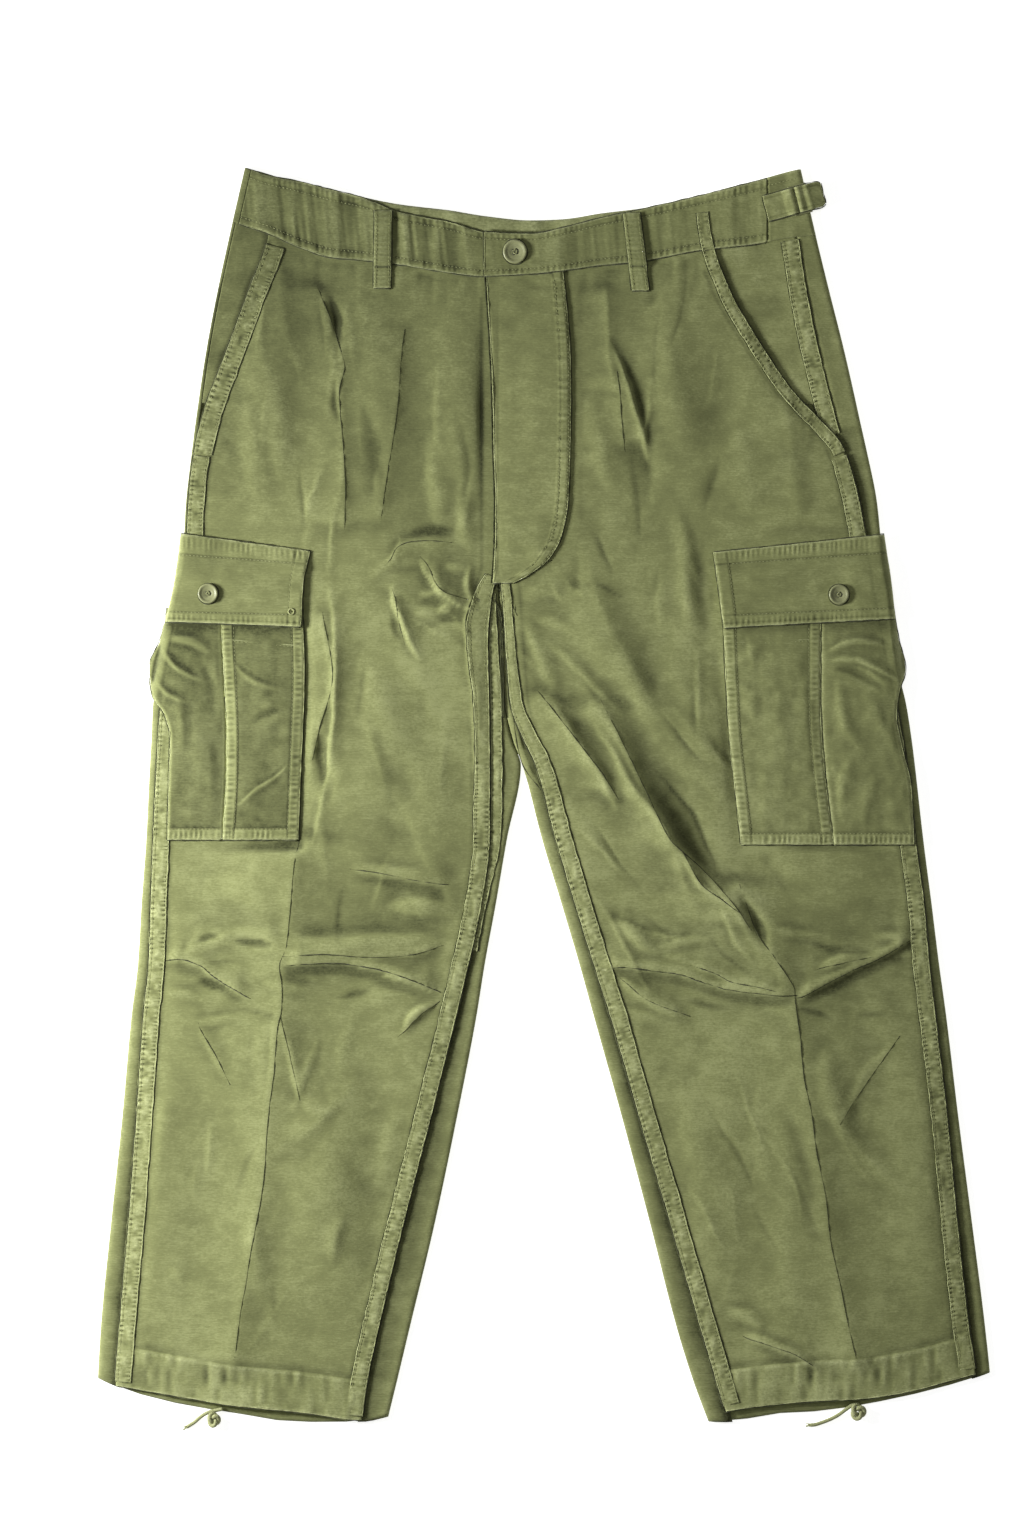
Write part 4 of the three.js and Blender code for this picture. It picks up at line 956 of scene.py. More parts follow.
def through(points, count):
    """A smooth path through points: a Catmull-Rom curve with even steps."""
    points = np.asarray(points, dtype=float)
    padded = np.concatenate([2 * points[:1] - points[1:2], points, 2 * points[-1:] - points[-2:-1]])
    u = np.linspace(0, len(points) - 1, count)
    i = np.minimum(u.astype(int), len(points) - 2)
    t = (u - i)[:, None]
    a, b, c, d = (padded[i + k] for k in range(4))
    return 0.5 * (2 * b + (c - a) * t + (2 * a - 5 * b + 4 * c - d) * t**2 + (3 * b - 3 * c + d - a) * t**3)


def path_length(path):
    return float(np.linalg.norm(np.diff(path, axis=0), axis=1).sum())


def knot_piece(name, centre, size, finish):
    """A tight knot: a rope that goes round twice and crosses itself three times.

    The path is (cos 2t (1 + 0.45 cos 3t), sin 2t (1 + 0.45 cos 3t), sin 3t), times size.
    """
    t = np.linspace(0, 2 * np.pi, 90)
    ring = 1 + 0.45 * np.cos(3 * t)
    path = np.stack([np.cos(2 * t) * ring * size[0], np.sin(2 * t) * ring * size[1],
                     size[2] * np.sin(3 * t)], axis=1)
    path += np.asarray(centre)
    piece = tube_piece(name, path, 1.75, 10)
    return dress(piece, finish, "cord")


def end_tuft(name, base, direction, count, seed):
    """The frayed end of a cord: short thin strands that fan out."""
    random = np.random.default_rng(seed)
    parts = []
    for strand in range(count):
        lean = random.uniform(-0.5, 0.5)
        turn = np.array([[math.cos(lean), -math.sin(lean)], [math.sin(lean), math.cos(lean)]])
        way = turn @ np.asarray(direction)
        reach = random.uniform(2.0, 4.5)
        offset = random.uniform(-1.0, 1.0)
        start = np.array([base[0] - direction[1] * offset, base[1] + direction[0] * offset, base[2]])
        end = start + np.array([way[0] * reach, way[1] * reach, -0.5])
        end[2] = max(0.5, end[2])
        parts.append(tube_piece(f"{name}_{strand}", np.linspace(start, end, 5), np.linspace(0.45, 0.2, 5),
                                6))
    return join(name, parts)


def join(name, parts):
    """Joins pieces into one object, by adding up their arrays."""
    points, quads, wear_and_painted_light_lists, start = [], [], [], 0
    for part in parts:
        mesh = part.data
        co = np.empty(len(mesh.vertices) * 3, dtype=np.float32)
        mesh.vertices.foreach_get("co", co)
        corner = np.empty(len(mesh.loops), dtype=np.int32)
        mesh.loops.foreach_get("vertex_index", corner)
        tone = np.empty(len(mesh.vertices), dtype=np.float32)
        mesh.attributes["tone"].data.foreach_get("value", tone)
        points.append(co.reshape(-1, 3) / MM)
        quads.append(corner.reshape(-1, 4) + start)
        wear_and_painted_light_lists.append(tone)
        start += len(mesh.vertices)
        bpy.data.objects.remove(part)
        bpy.data.meshes.remove(mesh)
    return mesh_piece(name, np.concatenate(points), np.concatenate(quads), np.concatenate(wear_and_painted_light_lists))


KNOTS = {"right": ((-270.5, -511.2, 3.9), (2.9, 3.6, 1.5)), "left": ((257.3, -504.6, 3.9), (3.6, 4.2, 1.6))}
for name, route in (("right", RIGHT_CORD), ("left", LEFT_CORD)):
    path = through(route, 48)
    cord = dress(tube_piece(f"hem_cord_{name}_end", path, CORD_DIAMETER / 2, 12), CORD_FINISH, "cord",
                 f"hem_cord_{name}")
    knot = knot_piece(f"hem_knot_{name}_rope", *KNOTS[name], CORD_FINISH)
    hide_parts(f"hem_knot_{name}")
    heading = path[-1, :2] - path[-4, :2]
    tuft = end_tuft(f"hem_cord_{name}_fray", path[-1], heading / np.linalg.norm(heading), 9, 5)
    dress(tuft, CORD_FINISH, "cord")
    tuple(path[0] * MM)
    [tuple(p * MM) for p in path]
    print(name, "cord", round(path_length(path), 1), "mm")

# %% [markdown]
# A turned edge of washed cotton is a small roll, and its top is rubbed pale. The shadow in
# the corner below it is painted by a thin dark tube. Both are thin uneven tubes along the
# rims of the pieces.

# %% Worn edges and painted shadow lines
stitches = []
worn_edges = []
painted_shadow_lines = []


def trim(outer, edges="top bottom left right", drop=1.0, reach=0.65):
    """Adds a worn roll along edges of a grid, and a dark tube just outside of each that paints the shadow
    there.
    """
    lines = {"top": (outer[0], outer[2]), "bottom": (outer[-1], outer[-3]),
             "left": (outer[:, 0], outer[:, 2]), "right": (outer[:, -1], outer[:, -3])}
    for edge in edges.split():
        rim, inside = lines[edge]
        away = rim[:, :2] - inside[:, :2]
        away = away / (np.linalg.norm(away, axis=1, keepdims=True) + 1e-9)
        away = np.concatenate([away, 0 * away[:, :1]], axis=1)
        worn_edges.append(rim - 0.25 * away + [0, 0, 0.06])
        # Painted shadow: a dark tube just outside the rim.
        painted_shadow_lines.append(rim + reach * away - [0, 0, min(drop, 0.7)])


def rolls(name, lines, thick, tone, seed):
    """Thin uneven tubes along many lines, as one mesh. A ring has four sides, on a corner."""
    points, quads, wear_and_painted_light_lists, start = [], [], [], 0
    sides = 4
    for number, line in enumerate(lines):
        run = np.concatenate([[0], np.cumsum(np.linalg.norm(np.diff(line, axis=0), axis=1))])
        count = max(4, int(run[-1] / 2.2))
        along = np.linspace(0, run[-1], count)
        path = np.stack([np.interp(along, run, line[:, k]) for k in range(3)], axis=1)
        wobble = noise(along, along * 0 + 5.0 * number, 6, 7, seed)
        radius = thick * (0.75 + 0.55 * noise(along, along * 0 + 9.0 * number, 4.5, 7, seed + 1))
        tangent = np.gradient(path, axis=0)
        side = np.stack([-tangent[:, 1], tangent[:, 0], 0 * along], axis=1)
        side /= np.linalg.norm(side, axis=1, keepdims=True) + 1e-9
        path = path + 0.22 * wobble[:, None] * side
        angle = np.linspace(0, 2 * np.pi, sides, endpoint=False)
        up = np.array([0.0, 0.0, 1.0])
        ring = np.cos(angle)[None, :, None] * side[:, None] + np.sin(angle)[None, :, None] * up
        tube = path[:, None] + radius[:, None, None] * ring
        points.append(tube.reshape(-1, 3))
        quads.append(closed_tube(count, sides) + start)
        wear_and_painted_light_lists.append(np.repeat(tone * (0.75 + 0.5 * wobble), sides))
        start += count * sides
    points, quads = np.concatenate(points), np.concatenate(quads)
    return dress(mesh_piece(name, points, outward(points, quads), np.concatenate(wear_and_painted_light_lists)), TWILL, "twill")

# %% [markdown]
# The front panels. A panel is one function: its place across is a share of the way
# between its two edges, and its height is the level of the cloth, a slight bow, the
# folds and a fine unevenness. The wear on its ridges, and the painted shade in its
# troughs and hollows, come from the same heights.

# %% Heights of the front panels


def leg(side, name, y):
    return read(side["leg"], "y", name, y)


FOLD_DEPTH = 1.8
DEEPEST = 1.5


def held_flat(side, x, y):
    """1 on free cloth, and near 0 where a pocket, the fly or a belt loop is sewn on."""
    past_pocket = (x - read(side["pocket"], "y", "fore", y)) * side["inward"]
    pocket = smooth(9, -2, past_pocket) * smooth(-50, -40, y) * smooth(228, 216, y)
    fly = smooth(-56, -50, x) * smooth(32, 24, x) * smooth(160, 176, y)
    loop = np.maximum(smooth(20, 9, np.abs(x + 132)), smooth(20, 9, np.abs(x - 77))) * smooth(398, 410, y)
    return (1 - pocket) * (1 - 0.75 * fly) * (1 - 0.75 * loop)


def front_height(side, x, y, fine=True):
    """Level + bow between the seams + folds + small unevenness, and no trough too deep."""
    outer, inner = leg(side, "front", y), leg(side, "inseam", y)
    share = np.clip((x - outer) / (inner - outer), 0, 1)
    bow = BOW * np.sqrt(4 * share * (1 - share)) * smooth(WAIST_LEVEL - 20, WAIST_LEVEL - 90, y)
    margin = np.minimum(np.abs(x - outer), np.abs(x - inner))
    relief = sum(fold(x, y, row, fine) for row in side["folds" if fine else "main"])
    if fine:
        relief = FOLD_DEPTH * relief + sum(line_fold(x, y, row) for row in side["lines"])
        relief = relief + 1.1 * noise(x, y, 42, 90, 3) + 0.35 * noise(x + 0.4 * y, y, 19, 30, 4)
        relief = relief + 0.07 * noise(x - 0.3 * y, y, 8, 13, 5)
        relief = relief * held_flat(side, x, y)
        relief = np.where(relief < 0, DEEPEST * np.tanh(relief / DEEPEST), relief)
    return FRONT_LEVEL + bow + relief * smooth(-4, SEAM_BAND * 1.8, margin)


def blurred(height, reach):
    """A running mean of a grid in both directions, for finding ridges and troughs."""
    kernel = np.ones(2 * reach + 1) / (2 * reach + 1)
    padded = np.pad(height, reach, mode="edge")
    rows = np.apply_along_axis(lambda line: np.convolve(line, kernel, "valid"), 0, padded)
    return np.apply_along_axis(lambda line: np.convolve(line, kernel, "valid"), 1, rows)


def settle(level, place, shift):
    """Moves levels to a slanted line, and finds where each column crosses it."""
    y = level + 0.0
    for _ in range(4):
        y = level + shift(place(y))
    return place(y), y


def seam_puckers(along, seed, period=4.2):
    """Uneven small waves along a seam: a sine whose phase wanders, times a random size."""
    wander = 3.4 * noise(along, along * 0 + 3.0 * seed, 13, 50, seed)
    size = 0.55 + 0.6 * noise(along, along * 0 + 7.0 * seed, 8, 50, seed + 1)
    return np.sin(2 * np.pi * along / period + wander) * size


def front_cloth(name, side):
    """The grid runs from the waist seam to the hem, and from the outer seam to the inner."""
    level = np.concatenate([
        np.linspace(WAIST_LEVEL + SEAM_LAP, WAIST_LEVEL - 1.5, 3)[:-1],
        np.linspace(WAIST_LEVEL - 1.5, HEM_LEVEL + HEM_DEPTH + 1, 372)[:-1],
        np.linspace(HEM_LEVEL + HEM_DEPTH + 1, HEM_LEVEL, 24),
    ])[:, None]
    share = np.linspace(0, 1, 180)[None, :]
    inward = side["inward"]

    def place(y):
        outer, inner = leg(side, "front", y), leg(side, "inseam", y)
        return mix(outer, inner, share) + 0 * y

    up = smooth(300, WAIST_LEVEL, level)
    down = smooth(-250, HEM_LEVEL + HEM_DEPTH + 2, level)
    x, y = settle(level + 0 * share, place, lambda at: (
        (read(WAIST, "x", "seam", at) - WAIST_LEVEL) * up
        + (read(side["hem"], "x", "front", at) - HEM_LEVEL) * down))
    z = front_height(side, x, y)
    from_hem = y - read(side["hem"], "x", "front", x)
    hem = smooth(HEM_DEPTH + 2.0, HEM_DEPTH - 1.0, from_hem)
    hem_waves = 0.4 * noise(x, y, 5, 16, 31) + 0.35 * noise(x, y, 11, 24, 32)
    z = z + hem * (SEAM_RISE * 0.7 + hem_waves * smooth(0, 6, HEM_DEPTH + 4 - from_hem))
    below_waist = smooth(46, 2, WAIST_LEVEL - level) * smooth(1.5, 6, WAIST_LEVEL - level)
    z = z + 0.45 * below_waist * noise(x, y, 7, 60, 33)
    ridge = z - blurred(z, 3)
    broad = z - blurred(z, 12)
    edge = np.minimum(np.abs(x - leg(side, "front", y)), np.abs(x - leg(side, "inseam", y)))
    # Ridges are paler from wear. Troughs, broad hollows, the troughs of the hem's waves, the line above the
    # hem's turn and the line beside each seam strip are darker: painted shade.
    tone = 0.13 * np.clip(ridge / 0.35, 0, 1) + 0.5 * np.clip(ridge / 0.4, -1, 0)
    tone = tone + 0.05 * np.clip(broad / 1.2, 0, 1) + 0.26 * np.clip(broad / 1.4, -1, 0)
    tone = tone + 0.12 * noise(x, y, 60, 90, 34)
    tone = tone - 0.28 * smooth(3.2, 0.0, np.abs(from_hem - HEM_DEPTH - 1.5))
    tone = tone + 0.8 * smooth(2.5, 0.0, from_hem) + hem * (0.1 + 0.5 * hem_waves)
    tone = tone + 0.35 * smooth(2.4, 0.0, np.abs(from_hem - HEM_DEPTH + 1.6))
    tone = tone - 0.35 * smooth(3.0, 0.0, np.abs(edge - SEAM_BAND - 0.8)) * (level < 430)
    outer = np.stack([x, y, z], axis=-1)
    trim(outer, "bottom", CLOTH)
    piece = draped_piece(name, outer, CLOTH, tone)
    wide = np.abs(leg(side, "front", y[:, :1]) - leg(side, "inseam", y[:, :1]))[:, 0]
    tall = y[:, 90]
    area = abs(float(np.sum((wide[1:] + wide[:-1]) / 2 * np.diff(tall))))
    return dress(piece, TWILL, "twill"), wide.max(), tall.max() - tall.min(), area


for name, side in SIDES.items():
    piece, width, length, area = front_cloth(f"front_cloth_{name}", side)
    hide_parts(f"front_panel_{name}")
    flat = (round(width * 1.02 * MM, 3), round(length * 1.03 * MM, 3))
    min(area * 1.03 * MM * MM, flat[0] * flat[1])
    print(piece.name, len(piece.data.polygons), "faces, flat", flat)

# %% [markdown]
# The back panels lie on the table and roll round the edges of the legs onto the top.
# A section has an arc at each side. Above the crotch the inner arc is opened out flat.

# %% Back panels


def rolled_edge(edge, end, inward, opened, arc_points):
    """Points from the end on the top, round the fold, down to the table.

    The arc turns by pi times opened about a centre half a roll above the table, on an
    ellipse of the roll's width, and a straight tail follows it.
    """
    turn = np.pi * opened
    width = np.minimum(ROLL_WIDTH, 0.8 * np.abs(end - edge))
    centre = edge + inward * width
    share = np.linspace(0, 1, arc_points)[None, :]
    angle = -np.pi / 2 + turn * share
    flat = (1 - opened) * (width - TIP) * share
    arc_x = centre - inward * (width * np.cos(angle) * opened + flat)
    arc_z = ROLL_HEIGHT / 2 * (1 + np.sin(angle))
    reach = np.where(opened < 1, TIP, np.abs(end - centre))
    tail = np.array([0.34, 0.67, 1.0])[None, :]
    tail_x = arc_x[:, -1:] - inward * np.cos(turn) * reach * tail
    tail_z = arc_z[:, -1:] + np.sin(turn) * reach * tail
    x = np.concatenate([arc_x, tail_x], axis=1)
    z = np.concatenate([arc_z, tail_z], axis=1)
    return x[:, ::-1], z[:, ::-1]


def back_section(side, y):
    inward = side["inward"]
    edge, fork = leg(side, "edge", y), leg(side, "fork", y)
    lap = SEAM_LAP * smooth(306, 290, y)
    outer_x, outer_z = rolled_edge(edge, leg(side, "seam", y) + inward * lap, inward, 1.0 + 0 * y, 9)
    opened = np.clip((188 - y) / 21, 0, 1)
    inner_x, inner_z = rolled_edge(fork, leg(side, "inseam", y) - inward * SEAM_LAP, -inward, opened, 9)
    share = np.linspace(0, 1, 9)[None, 1:-1]
    flat_x = mix(outer_x[:, -1:], inner_x[:, -1:], share)
    x = np.concatenate([outer_x, flat_x, inner_x[:, ::-1]], axis=1)
    z = np.concatenate([outer_z, 0 * flat_x, inner_z[:, ::-1]], axis=1)
    return x, z


def wall_inside(outer, wall):
    """The inner face of a rolled sheet: each point moved square to its own section."""
    step = np.concatenate([outer[:, 1:2] - outer[:, :1], outer[:, 2:] - outer[:, :-2],
                           outer[:, -1:] - outer[:, -2:-1]], axis=1)
    length = np.hypot(step[..., 0], step[..., 2])[..., None] + 1e-9
    inward = np.stack([-step[..., 2], 0 * step[..., 0], step[..., 0]], axis=-1) / length
    return outer + inward * wall


def back_cloth(name, side):
    level = np.concatenate([np.linspace(WAIST_LEVEL, 188, 60)[:-1], np.linspace(188, 167, 9)[:-1],
                            np.linspace(167, HEM_LEVEL, 190)])[:, None]
    count = back_section(side, level)[0].shape[1]
    up = smooth(300, WAIST_LEVEL, level)
    down = smooth(-250, HEM_LEVEL, level)
    y = level + np.zeros((1, count))
    for _ in range(4):
        x = np.stack([back_section(side, y[:, k:k + 1])[0][:, k] for k in range(count)], axis=1)
        y = level + ((read(WAIST, "x", "seam", x) + 2 - WAIST_LEVEL) * up
                     + (read(side["hem"], "x", "back", x) - HEM_LEVEL) * down)
    x = np.stack([back_section(side, y[:, k:k + 1])[0][:, k] for k in range(count)], axis=1)
    z = np.stack([back_section(side, y[:, k:k + 1])[1][:, k] for k in range(count)], axis=1)
    raised = smooth(ROLL_HEIGHT * 0.45, ROLL_HEIGHT, z) * (y < 420)
    uneven = 0.32 * noise(x, y, 14, 30, 11) + 0.2 * noise(x + y * 0.5, y, 8, 12, 12)
    z = z + raised * np.minimum(uneven, 0.15)
    tone = 0.05 * raised + 0.3 * raised * uneven
    # The lips under the front panel and the cloth beside the seam lines are darker: painted shade under the
    # front panel's edge.
    end = np.arange(count)[None, :]
    near_end = np.maximum(smooth(3.5, 1.0, end), smooth(count - 4.5, count - 2.0, end))
    tone = tone - 0.55 * near_end * (level < 300) - 0.2 * near_end
    under = np.minimum(np.abs(x - leg(side, "seam", y)), np.abs(x - leg(side, "inseam", y)))
    tone = tone - 0.5 * smooth(4.0, 0.5, under) * raised
    outer = np.stack([x, y, z], axis=-1)
    if side["inward"] < 0:
        outer, tone = outer[:, ::-1], tone[:, ::-1]
    return sheet_piece(name, outer, wall_inside(outer, CLOTH), tone)


BACK_LENGTH = 0.985
ROUND_THE_EDGES = 45.0
for name, side in SIDES.items():
    piece = dress(back_cloth(f"back_cloth_{name}", side), TWILL_SHADED, "twill", f"back_panel_{name}")
    leg_width = leg(side, "edge", np.array([0.0]))[0] - leg(side, "fork", np.array([0.0]))[0]
    flat = (round((abs(leg_width) + ROUND_THE_EDGES) * MM, 3), BACK_LENGTH)
    print(piece.name, len(piece.data.polygons), "faces, flat", flat)

# %% [markdown]
# The two back panels meet in a seat seam that ends at the fork. Seen from the front it
# is a narrow strip in shade between the legs, so one thin strip below both is enough,
# coloured fully dark as painted shade.

# %% Seam that joins the legs at the fork, as a strip of painted shade
fork_y = np.linspace(198, 34, 60)[:, None]
fork_middle = (leg(SIDES["right"], "fork", fork_y) + leg(SIDES["left"], "fork", fork_y)) / 2
fork_x = fork_middle + np.linspace(-2.4, 2.4, 5)[None, :]
fork_top = np.stack([fork_x, fork_y + 0 * fork_x, 1.9 + 0 * fork_x], axis=-1)
# Fully dark: painted shade in the gap between the legs.
dress(draped_piece("fork_seam", fork_top, 1.2, -1.8 + 0 * fork_x), TWILL, "twill")

# %% [markdown]
# Felled seams are strips of doubled cloth with two rows of stitches. In the wash the
# thread shrinks and the strip puckers across its length. A ribbon function lays such a
# strip along any line on the garment: raised edges, puckers between them, and stitches.

# %% Seam strips and their stitches


def band_floor(x, y):
    over = y - read(WAIST, "x", "seam", x)
    level = BAND_LEVEL - BAND_DROP * smooth(SEAM_LAP + 0.5, SEAM_LAP + 7, over)
    ends = np.maximum(smooth(-230, -244, x), smooth(148, 176, x))
    return mix(level, BAND_END_LEVEL, ends)


def seam_strip(name, line, width, floor, rise, seed, period=4.3, pucker=0.5, step=1.25, pale=0.2):
    """A strip along a line of places, where side 0 is the line and 1 is width away.

    Height = floor + rise + puckers, which are largest at the stitches and none at the
    rim. The place is line + side * width * normal, the normal to the line's left.
    """
    path = np.asarray(line, dtype=float)
    run = np.concatenate([[0], np.cumsum(np.linalg.norm(np.diff(path, axis=0), axis=1))])
    along = np.arange(0, run[-1], step)
    centre = np.stack([np.interp(along, run, path[:, 0]), np.interp(along, run, path[:, 1])], axis=1)
    kernel = np.ones(9) / 9
    for k in range(2):
        centre[:, k] = np.convolve(np.pad(centre[:, k], 4, mode="reflect", reflect_type="odd"), kernel,
                                   "valid")
    way = np.gradient(centre, axis=0)
    way /= np.linalg.norm(way, axis=1, keepdims=True)
    normal = np.stack([-way[:, 1], way[:, 0]], axis=1)
    side = np.array([0, 0.03, 0.09, 0.16, 0.24, 0.34, 0.45, 0.55, 0.66, 0.76, 0.84, 0.91, 0.97, 1.0])
    widths = np.broadcast_to(np.asarray(width(along) if callable(width) else width, dtype=float),
                             along.shape)
    jitter = 0.35 * noise(along, along * 0, 7, 50, seed + 9)
    reach = widths + jitter
    xy = centre[:, None] + (reach[:, None] * side[None, :])[..., None] * normal[:, None]
    x, y = xy[..., 0], xy[..., 1]
    strength = (pucker(along)[:, None] if callable(pucker) else pucker) / 0.5
    wave = seam_puckers(along, seed, period)[:, None]
    second = seam_puckers(along + 1.9, seed + 4, period * 0.83)[:, None]
    near, far = np.exp(-((side - 0.12) / 0.2) ** 2), np.exp(-((side - 0.88) / 0.2) ** 2)
    blotch = noise(x, y, 4.5, 4.5, seed + 7)
    shape = wave * near + second * far + 0.7 * blotch * np.exp(-((side - 0.5) / 0.3) ** 2)
    groove = np.exp(-((side - 0.17) / 0.045) ** 2) + np.exp(-((side - 0.83) / 0.045) ** 2)
    rim = smooth(0, 0.07, side) * smooth(1, 0.93, side)
    shape = strength * shape
    lift = rise * (0.55 + 0.45 * rim) + 0.5 * shape * rim - 0.22 * groove
    z = floor(x, y) + lift
    # Pucker crests are paler from wear; pucker troughs and the stitch grooves are darker, painted shade.
    # The rims are worn pale.
    worn = 0.5 + 0.5 * noise(x, y, 3.0, 3.0, seed + 5)
    tone = pale + 1.1 * np.clip(shape, -1, 1) * rim - 0.7 * groove[None, :] * worn
    tone = tone + 1.7 * worn * np.maximum(1 - smooth(0, 0.08, side), 1 - smooth(1, 0.92, side))
    outer = np.stack([x, y, z], axis=-1)
    trim(outer, "left right", 0.5)
    piece = dress(draped_piece(name, outer, 0.5, tone + 0 * x, narrow=True), TWILL, "twill")
    for place in (0.17, 0.83):
        i = int(round(np.interp(place, side, np.arange(len(side)))))
        stitches.append(np.stack([x[:, i], y[:, i], z[:, i] + 0.1], axis=1))
    return piece


def stitch_rows(name, lines, length=2.5, gap=0.6, radius=0.3):
    """All stitches as one mesh: each is a thin spindle of four sides and three rings."""
    starts, ends = [], []
    for line in lines:
        run = np.concatenate([[0], np.cumsum(np.linalg.norm(np.diff(line, axis=0), axis=1))])
        at = np.arange(0.5, run[-1] - length, length + gap)
        starts.append(np.stack([np.interp(at, run, line[:, k]) for k in range(3)], axis=1))
        ends.append(np.stack([np.interp(at + length, run, line[:, k]) for k in range(3)], axis=1))
    start, end = np.concatenate(starts), np.concatenate(ends)
    way = end - start
    way /= np.linalg.norm(way, axis=1, keepdims=True)
    side = np.stack([-way[:, 1], way[:, 0], 0 * way[:, 0]], axis=1)
    side /= np.linalg.norm(side, axis=1, keepdims=True)
    up = np.array([0.0, 0.0, 1.0])
    share = np.array([0.0, 0.5, 1.0])
    thick = radius * np.array([0.3, 1.0, 0.3])
    middle = mix(start[:, None], end[:, None], share[None, :, None])
    middle[..., 2] -= (0.2 * np.array([1.0, 0.0, 1.0]))[None]
    angle = np.array([0.25, 0.75, 1.25, 1.75]) * np.pi
    ring = np.cos(angle)[None, :, None] * side[:, None] + np.sin(angle)[None, :, None] * up
    points = middle[:, :, None] + thick[None, :, None, None] * ring[:, None]
    count = len(start)
    quads = (closed_tube(3, 4)[None] + 12 * np.arange(count)[:, None, None]).reshape(-1, 4)
    flat = points.reshape(-1, 3)
    piece = mesh_piece(name, flat, outward(flat, quads))
    return dress(piece, THREAD, "twill")


def line_at(side, name, offset, top, bottom, step=4.0):
    y = np.arange(top, bottom, -step)
    return np.stack([leg(side, name, y) + side["inward"] * offset, y], axis=1)


for name, side in SIDES.items():
    inward = side["inward"]
    floor = lambda x, y, side=side: front_height(side, x, y) + 0.1
    hem_at = lambda place, side=side: float(read(side["hem"], "x", "front", place))
    outer_bottom = hem_at(float(leg(side, "front", -480))) + 1.0
    inner_bottom = hem_at(float(leg(side, "inseam", -500))) + 1.0
    top = 279.0
    # Thin dark tubes just outside the front panel's outer and inner edges paint the shadow where it lies on
    # the back panel.
    for edge, offsets, high, low in (("front", (-0.8, -1.6), top, outer_bottom + 3.0),
                                     ("inseam", (0.8, 1.6), 150.0, inner_bottom + 3.0)):
        for offset in offsets:
            beside = line_at(side, edge, offset, high, low)
            level = np.full((len(beside), 1), ROLL_HEIGHT + 0.2)
            painted_shadow_lines.append(np.concatenate([beside, level], axis=1))
    line = line_at(side, "front", -0.6, top, outer_bottom)
    seam_strip(f"side_seam_{name}", line, inward * SEAM_BAND, floor, SEAM_RISE, 41)
    line = line_at(side, "inseam", 0.6, 179.0, inner_bottom)
    wide = [9, 15, 18, 16, 13, 11.5, SEAM_BAND] if inward > 0 else [7, 7, 7, 8, 9, 11, SEAM_BAND]
    seam_strip(f"inseam_strip_{name}", line, lambda along, inward=inward, wide=wide: (
        -inward * np.interp(along, [0, 18, 40, 65, 95, 130, 190], wide)), floor, SEAM_RISE, 51,
        pucker=lambda along: 0.5 * (0.22 + 0.78 * smooth(90, 200, along)))

    def slash_floor(x, y, floor=floor):
        over_band = smooth(-1, 1, y - read(WAIST, "x", "seam", x))
        return mix(floor(x, y), band_floor(x, y) + BAND_CLOTH + 0.1, over_band)

    line = line_at(side, "front", -0.6, 452.0 if inward > 0 else 478.0, 279.0)
    slash_width = 15.0 if inward > 0 else 9.5
    seam_strip(f"slash_edge_{name}", line, inward * slash_width, slash_floor, SEAM_RISE, 61)
fork_high = 166.0
back_seam = line_at(SIDES["right"], "inseam", 1.8, fork_high, -130.0)
back_seam[:, 0] -= 6.0 * smooth(0, -110, back_seam[:, 1])


def back_seam_width(along):
    """What shows of the right back panel between its fold and the front panel."""
    y = fork_high - along
    return np.clip(leg(SIDES["right"], "fork", y) - leg(SIDES["right"], "inseam", y) - 4.2, 2.0, 9.0)


seam_strip("back_seam_strip", back_seam, back_seam_width, lambda x, y: ROLL_HEIGHT + 0.15 + 0 * x,
           SEAM_RISE, 57, pucker=0.4)
# Dark tubes along the gap at the fork paint the shadow in it.
fork_gap = through(np.array([(-40.2, 160.0), (-35.4, 143.9), (-34.2, 99.6), (-33.6, 64.0)]), 60)
for shift in (-0.9, 0.0, 0.9):
    level = np.full((60, 1), ROLL_HEIGHT + 0.7)
    painted_shadow_lines.append(np.concatenate([fork_gap + [shift, 0], level], axis=1))
# A thin dark tube along each main fold paints the shade in its crease.
for name, side in SIDES.items():
    for row in side["lines"]:
        if row["line"]:
            path = through(np.array(row["path"]), 60)
            slant = np.array([0.7, 0.0]) if row["way"] == "down" else np.array([0.0, -0.7])
            size = row["line"] * np.sin(np.pi * np.linspace(0.02, 0.98, 60)) ** 0.5
            place = path + slant
            level = front_height(side, place[:, 0], place[:, 1]) + size * 0.5 - 0.25
            painted_shadow_lines.append(np.concatenate([place, level[:, None]], axis=1))
print("seam strips made, stitch rows so far:", len(stitches))

# %% [markdown]
# Facings, bands, fly, pockets and flaps are sheets of their own. Each has a cut, which
# is its top laid flat, and it is measured on the same grid that makes the piece.

# %% The cut of a sewn-on sheet


def sewn_sheet(piece, outer, *rests_on):
    """Works out the area of a sewn-on sheet's top laid flat, from its quads, and returns the piece as it
    is.
    """
    flat_top = outer[..., :2] * MM
    one, other = flat_top[1:, 1:] - flat_top[:-1, :-1], flat_top[1:, :-1] - flat_top[:-1, 1:]
    area = np.abs(one[..., 0] * other[..., 1] - one[..., 1] * other[..., 0]).sum() / 2
    return piece


print("sheet cuts ready")

# %% [markdown]
# The facing behind each slash pocket is a plain flat piece, a layer lower than the
# panel, with the felled side seam along its outer edge.

